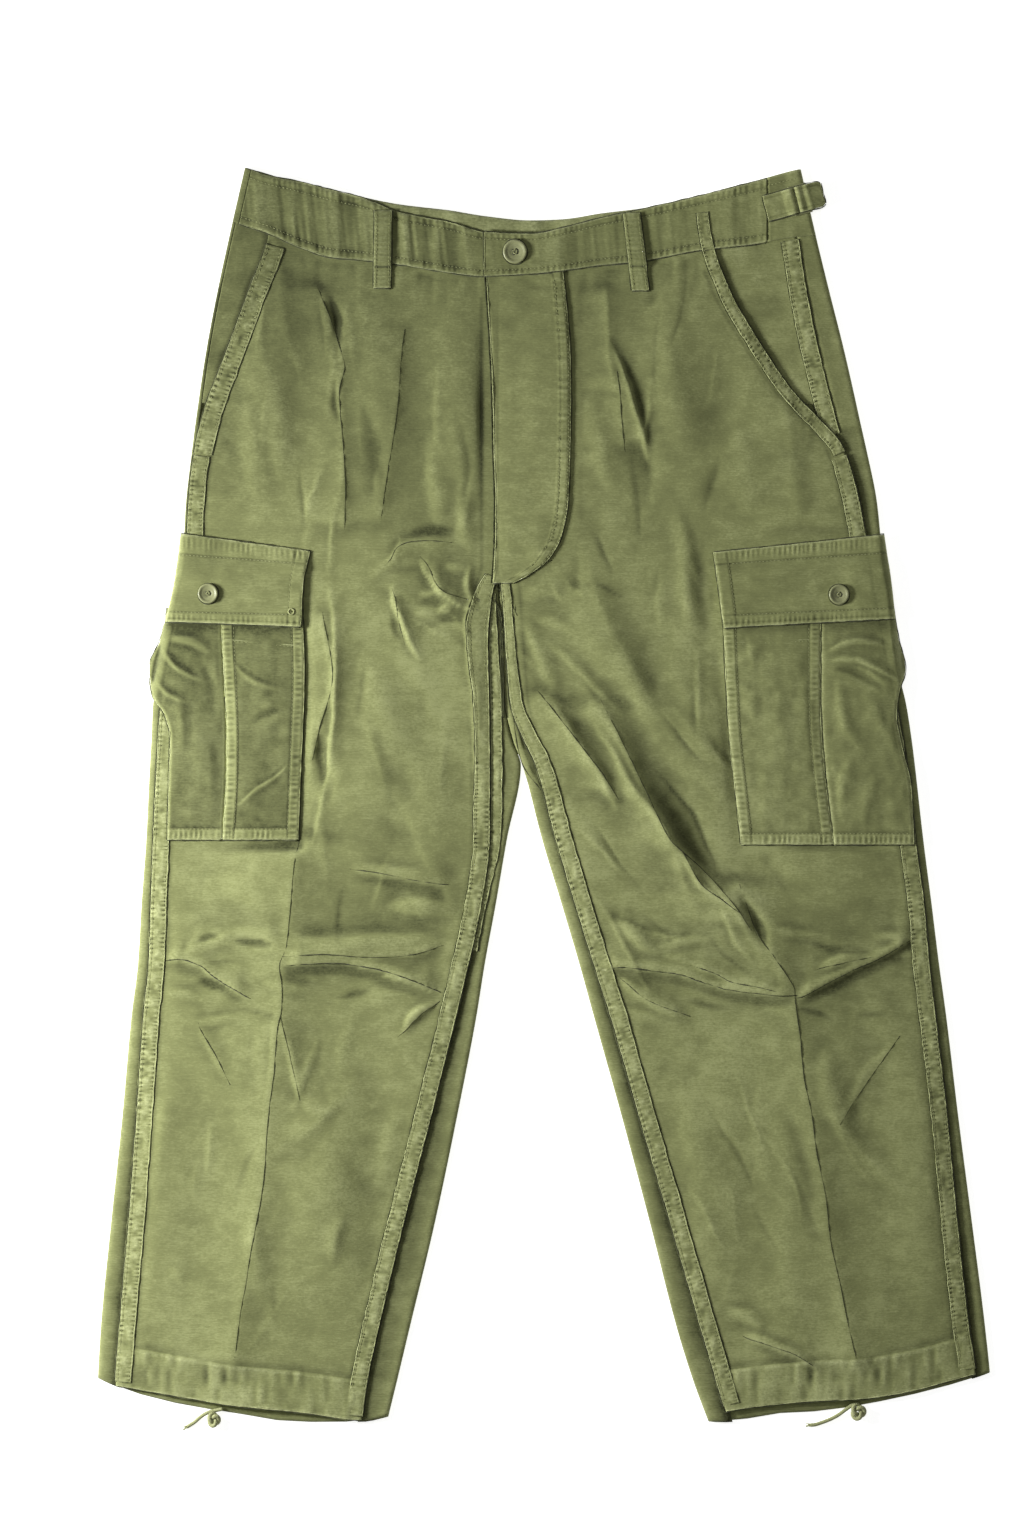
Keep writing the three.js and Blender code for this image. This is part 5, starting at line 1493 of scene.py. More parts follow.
# %% Slash-pocket facings
for name, side in SIDES.items():
    inward = side["inward"]
    level = np.linspace(WAIST_LEVEL, 320, 60)[:, None]
    share = np.linspace(0, 1, 30)[None, :]
    place = lambda y: mix(leg(side, "seam", y) + inward * GAP * 1.4, leg(side, "front", y) + inward * 10.0,
                          share)
    x, y = settle(level + 0 * share, place, lambda at: (
        (read(WAIST, "x", "seam", at) + 2 - WAIST_LEVEL) * smooth(300, WAIST_LEVEL, level)))
    z = ROLL_HEIGHT + 0 * x + np.minimum(0.1, 0.25 * noise(x, y, 15, 22, 71))
    # Darker near the front panel's edge: painted shade under it. The noise is the cloth's own uneven tone.
    tone = -0.5 * smooth(7, 0, np.abs(x - leg(side, "front", y))) + 0.3 * noise(x, y, 15, 22, 71)
    outer = np.stack([x, y, z], axis=-1)
    piece = sheet_piece(f"facing_cloth_{name}", outer, outer - [0, 0, CLOTH], tone)
    dress(piece, TWILL, "twill", f"pocket_facing_{name}")
    sewn_sheet(piece, outer, f"back_panel_{name}")
    y_line = np.arange(float(read(WAIST, "x", "seam", leg(side, "seam", 455.0))) - 2, 294.0, -4.0)
    line = np.stack([leg(side, "seam", y_line) - inward * 0.5, y_line], axis=1)
    flat_floor = lambda x, y: ROLL_HEIGHT + 0.12 + 0 * x
    if name == "left":
        seam_strip("side_seam_upper_left", line, inward * 14.0, flat_floor, SEAM_RISE, 75)
print("facings made")

# %% [markdown]
# The waistband is a double strip, top-stitched at both edges. Its back half lies on
# the table and rolls round both sides, and its inner side shows above the front.

# %% Waistbands


def fly_lift(x):
    return (BAND_CLOTH + GAP) * smooth(48, UNDERLAP_END + 4, x)


def front_band(name, start, end, lifted, seed, node):
    share_x = np.linspace(0, 1, 260)[None, :]
    share_y = np.concatenate([[0, 0.012], np.linspace(0.04, 0.96, 34), [0.988, 1]])[:, None]
    place = lambda y: mix(start(y), end, share_x)
    x, y = settle(0 * share_y + 0 * share_x, place, lambda at: (
        mix(read(WAIST, "x", "seam", at), read(WAIST, "x", "front", at), share_y)))
    rim = smooth(0, 0.03, share_y) * smooth(1, 0.97, share_y)
    stitch = np.exp(-((share_y - 0.12) / 0.02) ** 2) + np.exp(-((share_y - 0.86) / 0.022) ** 2)
    gather = smooth(-262, -240, x) * smooth(-50, -90, x)
    drapes = noise(x, y, 7, 90, seed) * (0.35 + 0.45 * gather) + 0.3 * noise(x, y, 16, 50, seed + 1)
    drapes = drapes + noise(x + 0.1 * y, y, 2.9, 40, seed + 5) * (0.15 + 0.3 * gather)
    puckers = 0.25 * seam_puckers(x, seed + 2, 5.0) * (np.exp(-((share_y - 0.07) / 0.08) ** 2)
                                                       + np.exp(-((share_y - 0.93) / 0.07) ** 2))
    relief = (0.85 * drapes + 1.2 * puckers) * rim - 0.25 * stitch
    z = band_floor(x, y) + (fly_lift(x) if lifted else 0) + BAND_CLOTH - 0.5 * (1 - rim) + relief
    # Crests of drapes and puckers are paler from wear; their troughs and the stitch lines are darker,
    # painted shade. The rims are worn pale.
    tone = 0.45 * drapes + 0.9 * puckers - 0.5 * stitch + 1.1 * (1 - rim)
    outer = np.stack([x, y, z], axis=-1)
    for row in (int(np.argmin(np.abs(share_y - 0.12))), int(np.argmin(np.abs(share_y - 0.86)))):
        stitches.append(np.stack([x[row], y[row], z[row] + 0.12], axis=1))
    trim(outer, "top bottom left" if lifted else "top bottom", BAND_CLOTH - 0.4)
    piece = dress(draped_piece(name, outer, BAND_CLOTH, tone + 0 * x), TWILL, "twill", node)
    return sewn_sheet(piece, outer, "waistband_back")


RIGHT, LEFT = SIDES["right"], SIDES["left"]
front_band("band_cloth_right", lambda y: leg(RIGHT, "seam", y) + BAND_TURN + GAP * 1.4, UNDERLAP_END,
           False, 81, "waistband_front_right")
front_band("band_cloth_left", lambda y: FLY_END + 0 * y, 182.6, True, 85, "waistband_front_left")


def back_band():
    share_y = np.linspace(0, 1, 24)[:, None]

    def section(y):
        right, left = leg(RIGHT, "edge", y), leg(LEFT, "edge", y)
        angle = np.linspace(np.pi / 2, -np.pi / 2, 11)[None, :]
        arc_z = BAND_ROLL / 2 * (1 + np.sin(angle)) + 0 * y
        right_x = right + ROLL_WIDTH * (1 - np.cos(angle))
        left_x = left - ROLL_WIDTH * (1 - np.cos(angle))
        flat = mix(right + ROLL_WIDTH, left - ROLL_WIDTH, np.linspace(0, 1, 122)[None, 1:-1])
        tail = mix(183.0 + 0 * y, left - ROLL_WIDTH, np.linspace(0, 1, 12)[None, :-1])
        end_x = leg(RIGHT, "seam", y) + BAND_TURN
        xs = np.concatenate([end_x, right_x, flat, left_x[:, ::-1], tail[:, ::-1]], axis=1)
        zs = np.concatenate([BAND_ROLL + 0 * y, arc_z, 0 * flat, arc_z[:, ::-1], BAND_ROLL + 0 * tail],
                            axis=1)
        return xs, zs

    count = section(share_y)[0].shape[1]
    y = 485 + np.zeros((len(share_y), count))
    for _ in range(4):
        x = np.stack([section(y[:, k:k + 1])[0][:, k] for k in range(count)], axis=1)
        y = mix(read(WAIST, "x", "seam", x), read(WAIST, "x", "back", x), share_y)
    z = np.stack([section(y[:, k:k + 1])[1][:, k] for k in range(count)], axis=1)
    folds = noise(x, y, 6, 60, 91)
    onto = smooth(BAND_ROLL * 0.6, BAND_ROLL, z)
    outer = np.stack([x, y, z + onto * np.minimum(0.15, 0.3 * folds)], axis=-1)
    inner = wall_inside(np.stack([x, y, z], axis=-1), BAND_CLOTH)
    floor_part = 1 - smooth(0.2, 1.5, z)
    lifted = 2.4 * smooth(0.5, 0.85, share_y)
    inner[..., 2] += floor_part * (0.5 * folds + lifted - 0.4 * smooth(0.97, 1.0, share_y))
    # The part on the table is made paler: painted light against the shadow the front band casts there. Fold
    # troughs are darker as painted shade, crests paler, and the top edge is worn pale.
    tone = 0.35 * folds + 0.9 * smooth(0.96, 1.0, share_y) + 0.45 * floor_part
    stitches.append(np.stack([x[20, -12:], y[20, -12:], z[20, -12:] + 0.15], axis=1))
    piece = dress(sheet_piece("band_cloth_back", outer, inner, tone + 0 * x), TWILL, "twill",
                  "waistband_back")
    return sewn_sheet(piece, outer)


back_band()
print("waistbands made")

# %% [markdown]
# The fly strip covers the buttons. Its left edge is free and worn, and a J-shaped seam
# holds its other side. It has soft level creases from sitting.

# %% Fly strip
level = np.concatenate([[430, 428.5], np.linspace(426, 174, 190)])[:, None]
share = np.concatenate([[0, 0.012], np.linspace(0.03, 0.97, 62), [0.988, 1]])[None, :]
place = lambda y: mix(read(FLY, "y", "left", y), read(FLY, "y", "right", y), share)
at_top = (level >= 429) * 1.0
x, y = settle(level + 0 * share, place, lambda at: (read(WAIST, "x", "seam", at) - GAP - level) * at_top)
panel = np.where(x < -37, front_height(RIGHT, x, y, False), front_height(LEFT, x, y, False))
rim = smooth(0, 0.03, share) * smooth(1, 0.97, share)
span = read(FLY, "y", "right", y) - read(FLY, "y", "left", y)
from_right = (1 - share) * span
line_near = np.exp(-((from_right - 1.6) / 0.8) ** 2) + np.exp(-((from_right - 8.5) / 0.8) ** 2)
band = smooth(11, 9, from_right)
level_creases = 0.5 * noise(x + 0.2 * y, y, 34, 7, 101) + 0.35 * noise(x, y, 12, 5, 102)
level_creases = level_creases * (0.35 + 0.65 * smooth(235, 205, y) + 0.4 * smooth(395, 420, y))
puckers = 0.4 * seam_puckers(y, 103, 6.5) * band
relief = 0.8 * noise(x, y, 18, 40, 104) + 1.3 * level_creases + puckers + 0.35 * band - 0.3 * line_near
z = panel + 2 * GAP + STRAP_CLOTH - 0.6 * (1 - rim) + relief * rim
# Crease and pucker crests are paler from wear; their troughs and the stitch lines are darker, painted
# shade. The edges are worn pale.
tone = 0.3 * level_creases + 0.9 * puckers - 0.45 * line_near + 0.12 * band
tone = tone + 0.65 * (1 - smooth(0, 0.03, share))
tone = tone + 0.25 * (1 - smooth(1, 0.975, share))
outer = np.stack([x, y, z], axis=-1)
trim(outer, "left right bottom", STRAP_CLOTH - 0.2)
fly_cloth = dress(draped_piece("fly_cloth", outer, STRAP_CLOTH, tone), TWILL, "twill", "fly_strip")
sewn_sheet(fly_cloth, outer, "front_panel_left", "front_panel_right")
fly_edge = outer[:, 0]
worn_edges.append(fly_edge + [0.35, 0, 0.2])
# Two dark tubes beside the free edge paint its shadow.
painted_shadow_lines.append(fly_edge + [-1.4, 0, -0.35])
painted_shadow_lines.append(fly_edge + [-0.8, 0, -0.5])
for offset in (1.6, 8.5):
    edge_y = np.arange(423.0, 186.0, -2.0)
    edge_x = read(FLY, "y", "right", edge_y) - offset
    top_z = front_height(LEFT, edge_x, edge_y, False) + 2 * GAP + STRAP_CLOTH + 0.25
    stitches.append(np.stack([edge_x, edge_y, top_z], axis=1))
print("fly made")

# %% [markdown]
# Cargo pockets. Each half is a puffed sheet with a doubled border. The aft half's top
# corner bulges round the side of the leg, with folds that run into it.

# %% Cargo pockets
RIGHT_POCKET_FOLDS = table(FOLD_COLUMNS, [
    (-316, 122, -278, 92, -5, 1.8, 5, 0.4),
    (-322, 104, -290, 74, -6, 1.6, 5, 0.4),
    (-310, 128, -270, 116, 4, 1.3, 5, 0),
    (-300, 88, -292, 30, -3, 1.2, 6, 0),
    (-290, 60, -270, -20, 4, 1.0, 8, 0),
    (-282, 112, -268, 60, 3, -1.1, 6, 0),
    (-262, 120, -250, 20, 2, 0.8, 7, 0),
    (-250, -14, -226, 14, 2, 0.4, 5, 0),
    (-240, 110, -226, 40, 4, 0.7, 9, 0),
    (-222, -20, -246, -6, 2, 0.35, 6, 0),
    (-300, -10, -282, -26, 2, 0.35, 6, 0),
    (-214, 100, -208, 0, 2, 0.6, 7, 0),
    (-256, -10, -208, 30, -2, 0.8, 2.5, 0.4),
    (-256, 112, -212, 88, -6, 0.8, 5, 0.4),
    (-240, 60, -212, 70, 3, -0.7, 5, 0),
])
LEFT_POCKET_FOLDS = table(FOLD_COLUMNS, [
    (228, 117, 284, 121, 7, 1.9, 5, 0.4),
    (230, 110, 294, 90, 8, 1.7, 5, -0.4),
    (236, 104, 280, 84, 5, -1.2, 4, 0),
    (240, 100, 262, 30, -5, 1.2, 7, 0),
    (262, 88, 292, 40, -6, 1.0, 7, 0),
    (286, 80, 294, 20, -4, 1.2, 6, 0),
    (250, 40, 242, -20, -3, 1.0, 7, 0),
    (270, 20, 262, -28, -2, 0.8, 7, 0),
    (156, 104, 180, 128, 2, 0.4, 5, 0),
    (158, 92, 172, 60, 3, 0.9, 6, 0),
    (180, 100, 196, 20, 6, 0.8, 10, 0),
    (172, -20, 196, -8, 3, 0.35, 6, 0),
    (206, 110, 214, 20, 3, 0.8, 7, 0),
    (166, 136, 172, 96, 2, 0.4, 4, 0),
])


def pocket_floor(side, x, y):
    inward = side["inward"]
    edge = leg(side, "edge", y)
    past = np.maximum(0, (edge - x) * inward + 3)
    outer, inner = leg(side, "front", y), leg(side, "inseam", y)
    share = np.clip((x - outer) / (inner - outer), 0, 1)
    bow = BOW * np.sqrt(4 * share * (1 - share))
    on_seam = SEAM_RISE * smooth(SEAM_BAND + 14, SEAM_BAND, (x - outer) * inward)
    level = FRONT_LEVEL + bow + on_seam + 2 * GAP
    return np.maximum(0.8, level - 0.09 * past * past)


def pocket_half(name, side, start_name, end_name, folds, node, seed):
    bottom = side["pocket"][-1]["y"]
    y = np.concatenate([[POCKET_TOP, POCKET_TOP - 1.2], np.linspace(POCKET_TOP - 3, bottom + 1.2, 150),
                        [bottom]])
    y = y[:, None]
    share = np.concatenate([[0, 0.015], np.linspace(0.035, 0.965, 76), [0.985, 1]])[None, :]
    start = read(side["pocket"], "y", start_name, y)
    end = read(side["pocket"], "y", end_name, y) - side["inward"] * GAP
    x = mix(start, end, share)
    y = y + 0 * x
    base = pocket_floor(side, x, y)
    low = smooth(bottom, bottom + 40, y) * smooth(138, 104, y)
    puff = POCKET_PUFF * low * np.sin(np.pi * share)
    to_start, to_end = share * np.abs(end - start), (1 - share) * np.abs(end - start)
    to_bottom, to_top = y - bottom, POCKET_TOP - y
    margin = np.minimum(np.minimum(to_start, to_end), np.minimum(to_bottom, to_top))
    open_edge = "aft" if start_name == "aft" else None
    side_margin = to_start + 90.0 if open_edge else np.minimum(to_start + 0 * x, to_end)
    border = np.maximum(smooth(POCKET_BORDER + 1, POCKET_BORDER - 0.5, to_bottom),
                        smooth(POCKET_BORDER + 1, POCKET_BORDER - 0.5, side_margin))
    relief = 0.8 * FOLD_DEPTH * sum(fold(x, y, row) for row in folds) * smooth(0, 14, margin)
    relief = relief * smooth(POCKET_TOP - 14, 128, y)
    uneven = 0.4 * noise(x, y, 16, 22, seed) + 0.25 * noise(x, y, 7, 10, seed + 1)
    relief = relief + uneven * smooth(1, 8, margin) * smooth(142, 130, y)
    along_bottom = seam_puckers(x, seed + 2, 4.4) * smooth(POCKET_BORDER + 1, 3, to_bottom)
    along_side = seam_puckers(y, seed + 3, 4.6) * smooth(POCKET_BORDER + 1, 3, side_margin)
    puckers = 0.33 * (along_bottom + along_side) * smooth(0.2, 2.2, margin) * smooth(144, 136, y)
    stitch = (np.exp(-((to_bottom - POCKET_BORDER) / 0.7) ** 2)
              + np.exp(-((side_margin - POCKET_BORDER) / 0.7) ** 2))
    rim = smooth(0, 1.6, margin)
    z = base + puff + CLOTH * (0.5 + 0.5 * rim) + BORDER_RISE * border + relief + puckers - 0.25 * stitch
    ridge = z - blurred(z, 3)
    # Ridges and pucker crests are paler from wear; troughs and stitch lines are darker, painted shade. The
    # top under the flap is darker as painted shadow, and the pockets are darker all over, the right one
    # more, as painted shade against the key light.
    tone = 0.9 * np.clip(ridge / 0.3, -0.7, 0.8) * 0.5 + 0.05 * border + 0.6 * puckers - 0.4 * stitch
    tone = tone + 1.5 * (1 - rim) - 0.5 * smooth(128, 142, y)
    tone = tone - (0.53 if side["inward"] > 0 else 0.12) * (1 - 0.5 * border)
    outer = np.stack([x, y, z], axis=-1)
    trim(outer, "bottom left" if open_edge else "bottom left right", CLOTH - 0.2)
    if not open_edge:
        mouth = np.linspace(0.04, 0.96, 40)
        mouth_x = mix(read(side["pocket"], "y", "pleat", 124.0), read(side["pocket"], "y", "fore", 124.0),
                      mouth)
        mouth_y = 127.0 - 6.0 * mouth * (1 if side["inward"] > 0 else 0.6)
        mouth_z = pocket_floor(side, mouth_x, mouth_y) + CLOTH + 0.35
        stitches.append(np.stack([mouth_x, mouth_y, mouth_z], axis=1))
        worn_edges.append(np.stack([mouth_x, mouth_y + 1.2, mouth_z - 0.25], axis=1))
        for distance in (to_start, to_end):
            column = int(np.argmin(np.abs((distance + 0 * x)[80] - POCKET_BORDER)))
            stitches.append(np.stack([x[12:, column], y[12:, column], z[12:, column] + 0.15], axis=1))
    row = int(np.argmin(np.abs(y[:, 0] - bottom - POCKET_BORDER)))
    stitches.append(np.stack([x[row, 3:-3], y[row, 3:-3], z[row, 3:-3] + 0.15], axis=1))
    piece = dress(draped_piece(name, outer, CLOTH, tone), TWILL, "twill", node)
    return sewn_sheet(piece, outer, "front_panel_" + node.split("_")[-1])


for name, folds in (("right", RIGHT_POCKET_FOLDS), ("left", LEFT_POCKET_FOLDS)):
    side = SIDES[name]
    pocket_half(f"pocket_aft_cloth_{name}", side, "aft", "pleat", folds, f"cargo_pocket_aft_{name}", 111)
    pocket_half(f"pocket_fore_cloth_{name}", side, "pleat", "fore", folds, f"cargo_pocket_fore_{name}", 121)
print("cargo pockets made")

# %% [markdown]
# A flap is a stiff double piece with a turned and stitched border, buttoned down.

# %% Flaps


def flap_floor(side, x, y):
    return pocket_floor(side, x, y) + FLAP_LIFT * smooth(198, 184, y)


def flap_cloth(name, side, node, seed):
    down = np.concatenate([[0, 0.015], np.linspace(0.03, 0.97, 70), [0.985, 1]])[:, None]
    across = np.concatenate([[0, 0.008], np.linspace(0.02, 0.98, 120), [0.992, 1]])[None, :]
    line = lambda column: read(side["flap"], "v", column, down)
    x = mix(line("outer_x"), line("inner_x"), across)
    y = mix(line("outer_y"), line("inner_y"), across)
    width = np.hypot(line("outer_x") - line("inner_x"), line("outer_y") - line("inner_y"))
    height = 64.0
    to_inner, to_outer = (1 - across) * width, across * width
    to_top, to_bottom = down * height + 0 * x, (1 - down) * height + 0 * x
    margin = np.minimum(np.minimum(to_inner, to_outer + 0 * x), np.minimum(to_top, to_bottom))
    border = np.maximum(np.maximum(smooth(12.5, 11, to_top), smooth(9.5, 8, to_bottom)),
                        smooth(12, 10.5, to_inner))
    stitch = np.exp(-((to_top - 12) / 0.7) ** 2) + np.exp(-((to_bottom - 9) / 0.7) ** 2) \
        + np.exp(-((to_inner - 11) / 0.7) ** 2) + 0.8 * np.exp(-((to_bottom - 3) / 0.7) ** 2)
    rim = smooth(0, 1.4, margin)
    puckers = 0.3 * (seam_puckers(x, seed, 4.3) * np.maximum(smooth(12, 4, to_top), smooth(9, 3, to_bottom))
                     + seam_puckers(y, seed + 1, 4.3) * smooth(11, 4, to_inner)) * smooth(0.3, 2.5, margin)
    relief = 0.35 * noise(x, y, 26, 14, seed + 2) + 0.2 * noise(x, y, 9, 7, seed + 3)
    curl = 0.5 * smooth(30, 0, to_inner) * smooth(22, 0, to_bottom)
    base = flap_floor(side, x, y)
    z = (base + STRAP_CLOTH * (0.55 + 0.45 * rim) + BORDER_RISE * border * 0.8 + relief * rim + puckers
         - 0.28 * stitch + curl)
    # Pucker crests and raised patches are paler; troughs and stitch lines are darker, painted shade. The
    # rims are worn pale.
    tone = 0.1 * border + 0.9 * puckers - 0.5 * stitch + 1.5 * (1 - rim) + 0.35 * relief - 0.1
    outer = np.stack([x, y, z], axis=-1)
    trim(outer, "top bottom right", STRAP_CLOTH)
    row = int(np.argmin(np.abs(to_top[:, 60] - 12)))
    stitches.append(np.stack([x[row, 3:-9], y[row, 3:-9], z[row, 3:-9] + 0.15], axis=1))
    row = int(np.argmin(np.abs(to_bottom[:, 60] - 9)))
    stitches.append(np.stack([x[row, 3:-9], y[row, 3:-9], z[row, 3:-9] + 0.15], axis=1))
    column = int(np.argmin(np.abs(to_inner[35] - 11)))
    stitches.append(np.stack([x[12:-9, column], y[12:-9, column], z[12:-9, column] + 0.15], axis=1))
    piece = dress(draped_piece(name, outer, STRAP_CLOTH, tone), TWILL, "twill", node)
    pocket = node.replace("cargo_flap", "cargo_pocket_fore")
    return sewn_sheet(piece, outer, pocket, pocket.replace("fore", "aft"))


for name, side in SIDES.items():
    flap_cloth(f"flap_cloth_{name}", side, f"cargo_flap_{name}", 131)
print("flaps made")

# %% [markdown]
# Belt loops are narrow folded straps with two rows of stitches, tacked at both ends.

# %% Belt loops


def belt_loop(name, top_x, bottom_x, top_y, bottom_y, side, node):
    width = 14.0
    seam = float(read(WAIST, "x", "seam", mix(top_x, bottom_x, 0.7)))
    y = np.linspace(top_y, bottom_y, 90)[:, None]
    share = np.array([-0.5, -0.48, -0.43, -0.36, -0.3, -0.2, -0.1, 0, 0.1, 0.2, 0.3, 0.36, 0.43, 0.48,
                      0.5])[None, :]
    x = mix(top_x, bottom_x, (top_y - y) / (top_y - bottom_y)) + share * width
    y = y + 0 * x
    band = band_floor(x, np.maximum(y, seam)) + BAND_CLOTH + GAP
    panel = front_height(side, x, y, False) + GAP
    slack = 0.8 * smooth(top_y, top_y - 10, y)
    base = mix(panel, band + slack, smooth(seam - 6, seam - 1, y)) + 0.5 * GAP
    rim = smooth(0.5, 0.45, np.abs(share)) * smooth(0, 1.5, y - bottom_y) * smooth(0, 1.5, top_y - y)
    stitch = np.exp(-((np.abs(share) - 0.33) / 0.045) ** 2)
    puckers = 0.22 * seam_puckers(y, 141, 3.8) * rim
    z = base + STRAP_CLOTH * (0.6 + 0.4 * rim) + puckers - 0.25 * stitch
    # Pucker crests are paler, troughs and stitch lines darker as painted shade, and the rims worn pale. A
    # dark line where the loop bends over the waist seam is painted shadow.
    tone = 0.25 + 0.6 * (1 - rim) + 0.8 * puckers - 0.5 * stitch
    tone = tone - 0.7 * np.exp(-((y - seam + 4) / 1.2) ** 2)
    outer = np.stack([x, y, z], axis=-1)
    inner = outer.copy()
    inner[..., 2] = base
    trim(outer, "left right bottom", STRAP_CLOTH)
    for column in (3, 11):
        stitches.append(np.stack([x[4:-4, column], y[4:-4, column], z[4:-4, column] + 0.15], axis=1))
    return dress(sheet_piece(name, outer, inner, tone), TWILL, "twill", node)


belt_loop("loop_cloth_right", -131.5, -132.5, 479, 415.5, RIGHT, "belt_loop_right")
belt_loop("loop_cloth_left", 71.5, 79, 477, 413.5, LEFT, "belt_loop_left")
print("belt loops made")

# %% [markdown]
# The side adjuster: a tab whose end is sewn round one bar of a slide buckle, and a
# strap that runs through it. Both lie on a slanted line at the wearer's left.

# %% Side adjuster
ADJUSTER_AT = (181.5, 480.5)
ADJUSTER_TURN = math.radians(15)
ADJUSTER_TALL = 21.0
ADJUSTER_LEVEL = BAND_ROLL + GAP
BAR, SLOT, BUCKLE_START, BUCKLE_THICK = 3.0, 4.0, 20.5, 2.0
OVER_BAR = BUCKLE_THICK + GAP
TAB = table("along rise", [(0, 0), (8, 0), (15, 0.4), (19.4, OVER_BAR), (22, OVER_BAR + 0.6),
                           (24.4, OVER_BAR), (25.6, 0.9)])
STRAP_END = table("along rise", [(25.9, 0.9), (27.1, OVER_BAR), (29, OVER_BAR + 0.6), (31.6, OVER_BAR),
                                 (33, OVER_BAR - 0.3), (36, OVER_BAR + 0.2), (39.5, OVER_BAR - 0.6),
                                 (46, OVER_BAR - 1.6), (48.5, OVER_BAR - 2)])


def adjuster_place(along, up):
    c, s = math.cos(ADJUSTER_TURN), math.sin(ADJUSTER_TURN)
    return ADJUSTER_AT[0] + along * c - up * s, ADJUSTER_AT[1] + along * s + up * c


def adjuster_strap(name, profile, node, seed, round_end=False):
    along = np.linspace(profile[0]["along"], profile[-1]["along"], 90)[:, None]
    share = np.linspace(-0.5, 0.5, 41)[None, :]
    tall = ADJUSTER_TALL * np.ones_like(along)
    if round_end:
        tall = ADJUSTER_TALL - 4 * smooth(44.5, 48.5, along) ** 2
    x, y = adjuster_place(along + 0 * share, share * tall)
    rim = smooth(0.5, 0.45, np.abs(share)) * smooth(0, 1, along - along[0])
    rim = rim * smooth(0, 1, along[-1] - along)
    stitch = np.exp(-((np.abs(share) - 0.38) / 0.03) ** 2)
    base = ADJUSTER_LEVEL + read(profile, "along", "rise", along)
    uneven = 0.3 * noise(x, y, 6, 6, seed)
    z = base + (STRAP_CLOTH - 0.2) * (0.6 + 0.4 * rim) - 0.22 * stitch + uneven * rim
    over_bar = smooth(OVER_BAR - 0.6, OVER_BAR + 0.4, base - ADJUSTER_LEVEL)
    # The stitch lines and the troughs of the uneven cloth are darker, painted shade; the rims are worn
    # pale.
    tone = 0.45 * (1 - rim) - 0.4 * stitch + uneven + 0.3 * over_bar
    outer = np.stack([x, y, z], axis=-1)
    inner = outer.copy()
    inner[..., 2] = base + 0 * x
    trim(outer, "top bottom left right", 1.0)
    return dress(sheet_piece(name, outer, inner, tone + 0 * x), TWILL, "twill", node)


adjuster_strap("adjuster_tab_cloth", TAB, "adjuster_tab", 151)
adjuster_strap("adjuster_end_cloth", STRAP_END, "adjuster_end", 153, True)


def bar_piece(name, start, end, wide):
    """One side of the buckle: a rounded bar between two places."""
    (x0, y0), (x1, y1) = adjuster_place(*start), adjuster_place(*end)
    z = ADJUSTER_LEVEL + BUCKLE_THICK / 2
    return tube_piece(name, np.linspace((x0, y0, z), (x1, y1, z), 12), wide, 14)


half = ADJUSTER_TALL / 2 + 1.0
bars = []
for k in range(3):
    at = BUCKLE_START + k * (BAR + SLOT) + BAR / 2
    bars.append(bar_piece(f"bar_{k}", (at, -half), (at, half), BUCKLE_THICK / 2))
for k, up in enumerate((-half, half)):
    bars.append(bar_piece(f"rail_{k}", (BUCKLE_START + 1.0, up),
                          (BUCKLE_START + 3 * BAR + 2 * SLOT - 1.0, up), 0.95))
dress(join("adjuster_buckle_frame", bars), BUCKLE_FINISH, "buckle", "adjuster_buckle")
print("adjuster made")

# %% [markdown]
# Buttons are turned shapes: a rounded rim, a dished face and four holes with thread
# crossed through them. Each hole is a near-black disc that paints the shade inside it,
# and dark rings paint the shade in the dish and the shadow round the rim. The profile
# is carried round the axis as a grid.

# %% Buttons
BUTTON_THICK = 2.6


